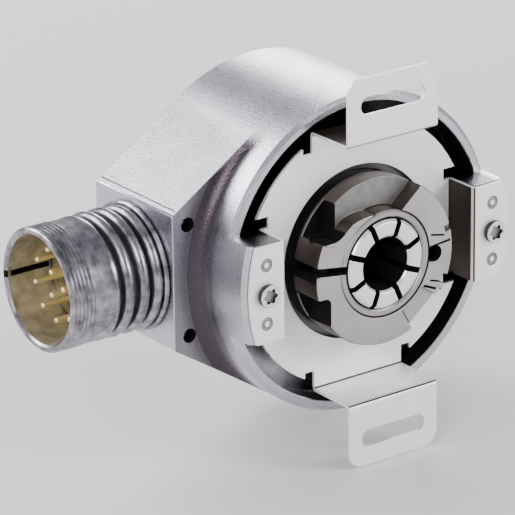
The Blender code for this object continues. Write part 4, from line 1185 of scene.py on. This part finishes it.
def make_connector_shell():
    """Round shell: a foot, three rounded ribs, and a sleeve with a fine thread at the mouth."""
    spigot_r = CONNECTOR_HOLE_R - 0.3
    outer = [(spigot_r, -2.2), (spigot_r, 0.9), (8.8, 0.9), (8.8, 0.2), (FOOT_R - 0.3, 0.2),
             (FOOT_R - 0.02, 0.45), (FOOT_R - 0.02, 0.9), (FOOT_R - 0.3, 1.15),
             (GROOVE_FLOOR_R + 0.6, 1.15)]
    for crest in RIB_CRESTS:
        outer += arc(RIB_R - 10.4, -70.0, 70.0, 12, (10.4, crest))
        outer += [(GROOVE_FLOOR_R, crest + 1.15), (GROOVE_FLOOR_R, crest + 1.6)]
    lip = RIB_CRESTS[-1] + 1.9
    outer.append((GROOVE_FLOOR_R, lip))
    outer += arc(0.8, -90.0, 0.0, 6, (SLEEVE_R - 0.8, lip + 0.9))
    outer += [(SLEEVE_R, lip + 1.5), (SLEEVE_R - 0.12, lip + 1.8)]
    outer.append((SLEEVE_R - 0.12, THREAD_START))
    root_r = SLEEVE_R - THREAD_DEPTH
    for i in range(THREAD_TURNS):
        start = THREAD_START + THREAD_PITCH * i
        outer += [(root_r, start + THREAD_PITCH * 0.3), (root_r, start + THREAD_PITCH * 0.5),
                  (SLEEVE_R, start + THREAD_PITCH * 0.8), (SLEEVE_R, start + THREAD_PITCH * 0.95)]
    outer += [(SLEEVE_R - 0.05, MOUTH - 0.25), (SLEEVE_R - 0.35, MOUTH), (SLEEVE_INNER_R + 0.35, MOUTH),
              (SLEEVE_INNER_R, MOUTH - 0.35)]
    inner = [(SLEEVE_INNER_R, 11.2), (9.2, 11.2), (9.2, 3.0), (5.6, 3.0), (5.6, -2.2)]
    shell = to_object("round_shell", turned(outer + inner, WIDE, ALONG_CONNECTOR))
    key_floor = CONNECTOR_Y + SLEEVE_INNER_R + KEYWAY_DEPTH
    keyway = rectangle(CONNECTOR_Y + 9.0, key_floor, -KEYWAY_HALF_WIDTH, KEYWAY_HALF_WIDTH)
    cut(shell, prism(keyway, "X", BOX_END_X - MOUTH + 0.9, BOX_END_X - 11.4))
    smooth(shell)
    finish_piece(shell, "stator", "nickel_plated_brass", "connector_shell")
    paint(shell, "groove_shade", between_ribs)
    # Painted shade on the mouth's inner walls, near black in the keyway.
    paint(shell, "mouth_shade", in_mouth)
    paint(shell, "deep_shade", in_keyway)


def between_ribs(centre, _):
    """True for the floors of the grooves between the shell's ribs."""
    along = BOX_END_X - centre.x
    radius = hypot(centre.y - CONNECTOR_Y, centre.z)
    return 0.3 < along < RIB_CRESTS[-1] + 2.0 and 9.5 < radius < 10.5


def in_mouth(centre, normal):
    """True for the shell's inner walls."""
    across = centre.y - CONNECTOR_Y
    inward = across * normal.y + centre.z * normal.z < 0.0
    return inward and hypot(across, centre.z) < SLEEVE_INNER_R + 0.02


def in_keyway(centre, _):
    """True for the floor and walls of the keyway in the sleeve's inner wall."""
    across = centre.y - CONNECTOR_Y
    beside = abs(centre.z) < KEYWAY_HALF_WIDTH + 0.05
    return beside and across > SLEEVE_INNER_R and hypot(across, centre.z) < SLEEVE_INNER_R + 0.9


def pin_places():
    """Nine pins on an outer circle and three on an inner one."""
    outer = [polar(PIN_CIRCLE_R, 20.0 + 40.0 * i) for i in range(9)]
    inner = [polar(INNER_PIN_CIRCLE_R, 30.0 + 120.0 * i) for i in range(3)]
    return outer + inner


def connector_axis(u, v):
    """Axis parallel to the connector's, offset across it."""
    return ALONG_CONNECTOR @ Matrix.Translation((u, v, 0.0))


def make_connector_inside():
    """The pin carrier and its twelve gold pins."""
    profile = [(0.0, -2.0), (5.3, -2.0), (5.3, 3.3), (8.9, 3.3), (8.9, INSERT_FACE - 0.4),
               (8.5, INSERT_FACE), (0.0, INSERT_FACE)]
    insert = to_object("pin_carrier", turned(softened(profile, 0.12), MEDIUM, ALONG_CONNECTOR))
    lines = [connector_axis(u, v) for u, v in pin_places()]
    cut(insert, *[turned(rod(PIN_R + 0.25, INSERT_FACE - 2.0, INSERT_FACE + 1.0), 24, line)
                  for line in lines])
    round_edges(insert, 0.08, 2)
    finish_piece(insert, "stator", "insert_plastic", "connector_insert")
    for number, line in enumerate(lines, start=1):
        tip = arc(PIN_R, 0.0, 75.0, 5, (0.0, PIN_TIP - PIN_R))
        pin = [(0.0, INSERT_FACE - 1.8), (PIN_R, INSERT_FACE - 1.8)] + tip + [(0.0, PIN_TIP)]
        contact = to_object("gold_pin_%d" % number, turned(pin, 24, line))
        smooth(contact)
        finish_piece(contact, "stator", "gold_contact", "contact_pin_%d" % number)


# -------- nodes kept from the frame

RACES = tuple(end + part for end in ("front_", "rear_")
              for part in ("outer_race", "inner_race", "ball_cage"))
INNER_SCREWS = tuple("%s_%d" % (kind, number) for number in (1, 2, 3)
                     for kind in ("flange_screw", "board_spacer", "board_screw"))
KEPT_FINISHES = {
    "black_rubber": ("cover_seal", "shaft_seal", "connector_seal", "lead_bundle"),
    "bearing_steel": RACES + ("wave_spring", "retaining_ring"),
    # Painted shade: these are darkened, so the flange seen round the hub stays dark.
    "machined_aluminium": ("bearing_flange", "inner_race_spacer", "disc_hub"),
    "screw_steel": INNER_SCREWS,
    "clear_glass": ("code_disc", "led"),
    "circuit_board": ("main_board",),
    "dark_plastic": ("led_holder", "sensor_chip", "processor_chip"),
}


def repaint_kept_nodes():
    """Gives the frame's own inner pieces their finishes."""
    for finish, names in KEPT_FINISHES.items():
        for name in names:
            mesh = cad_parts[name].data
            mesh.materials.clear()
            mesh.materials.append(FINISHES[finish])


# -------- stage, light and camera

FLOOR_Z = WING_TIP_Z + 0.3
CAMERA_AZIMUTH = -36.094
CAMERA_ELEVATION = 21.138
CAMERA_ROLL = -0.812
CAMERA_DISTANCE = 668.863
CAMERA_TARGET = (-14.333, 21.283, -1.118)
CAMERA_LENS = 260.02


def make_floor():
    """A wide pale floor under the lower wing."""
    bm = bmesh.new()
    half = 4000.0
    corners = [(-half, -half), (half, -half), (half, half), (-half, half)]
    bm.faces.new([bm.verts.new((x, y, -FLOOR_Z)) for x, y in corners])
    floor = to_object("floor", bm)
    made = Nodes("studio_floor")
    made.set(Base_Color=(0.82, 0.82, 0.82, 1.0), Roughness=0.85)
    drift = made.noise(made.coordinates(), 300.0)
    made.link(made.blend(drift, (0.8, 0.8, 0.8), (0.84, 0.84, 0.84)), made.shader.inputs["Base Color"])
    floor.data.materials.append(made.material)


def make_world():
    world = bpy.data.worlds.new("studio")
    world.use_nodes = True
    back = world.node_tree.nodes["Background"]
    back.inputs["Color"].default_value = (0.9, 0.92, 1.0, 1.0)
    back.inputs["Strength"].default_value = 0.55
    bpy.context.scene.world = world


def softbox(name, position, target, width, height, power):
    """A rectangular light that faces the target."""
    light = bpy.data.lights.new(name, "AREA")
    light.shape = "RECTANGLE"
    light.size = width * MM
    light.size_y = height * MM
    light.energy = power
    obj = bpy.data.objects.new(name, light)
    obj.location = Vector(position) * MM
    aim = (Vector(target) - Vector(position)).normalized()
    obj.rotation_euler = aim.to_track_quat("-Z", "Y").to_euler()
    bpy.context.scene.collection.objects.link(obj)


def make_lights():
    middle = (-5.0, 15.0, 0.0)
    softbox("top_back_light", (-350.0, 530.0, 400.0), middle, 440.0, 420.0, 5.5)
    softbox("right_back_light", (420.0, 520.0, 260.0), middle, 260.0, 260.0, 2.1)
    softbox("front_left_light", (-620.0, -420.0, 420.0), middle, 400.0, 400.0, 3.7)
    softbox("right_light", (420.0, -520.0, 260.0), middle, 300.0, 300.0, 3.5)


def make_camera():
    """A camera on a sphere round its target, rolled a little about its own axis."""
    azimuth = radians(CAMERA_AZIMUTH)
    elevation = radians(CAMERA_ELEVATION)
    roll = radians(CAMERA_ROLL)
    back = Vector((sin(azimuth) * cos(elevation), -cos(azimuth) * cos(elevation), sin(elevation)))
    level = Vector((cos(azimuth), sin(azimuth), 0.0))
    upright = back.cross(level)
    right = level * cos(roll) + upright * sin(roll)
    up = upright * cos(roll) - level * sin(roll)
    data = bpy.data.cameras.new("camera")
    data.sensor_width = 36.0
    data.lens = CAMERA_LENS
    data.clip_start = 0.01
    data.clip_end = 50.0
    camera = bpy.data.objects.new("camera", data)
    rotation = Matrix((right, up, back)).transposed()
    location = (Vector(CAMERA_TARGET) + back * CAMERA_DISTANCE) * MM
    camera.matrix_world = Matrix.Translation(location) @ rotation.to_4x4()
    bpy.context.scene.collection.objects.link(camera)
    bpy.context.scene.camera = camera


# -------- assembly

def main():
    """The stage, then the pieces from the casing inwards."""
    make_camera()
    make_world()
    make_lights()
    make_floor()
    make_housing()
    make_rear_cover()
    make_casing_screws()
    make_stator_coupling()
    make_coupling_screws()
    make_hollow_shaft()
    make_collet()
    make_clamp_ring()
    make_clamp_screw()
    make_connector_shell()
    make_connector_inside()
    repaint_kept_nodes()


main()
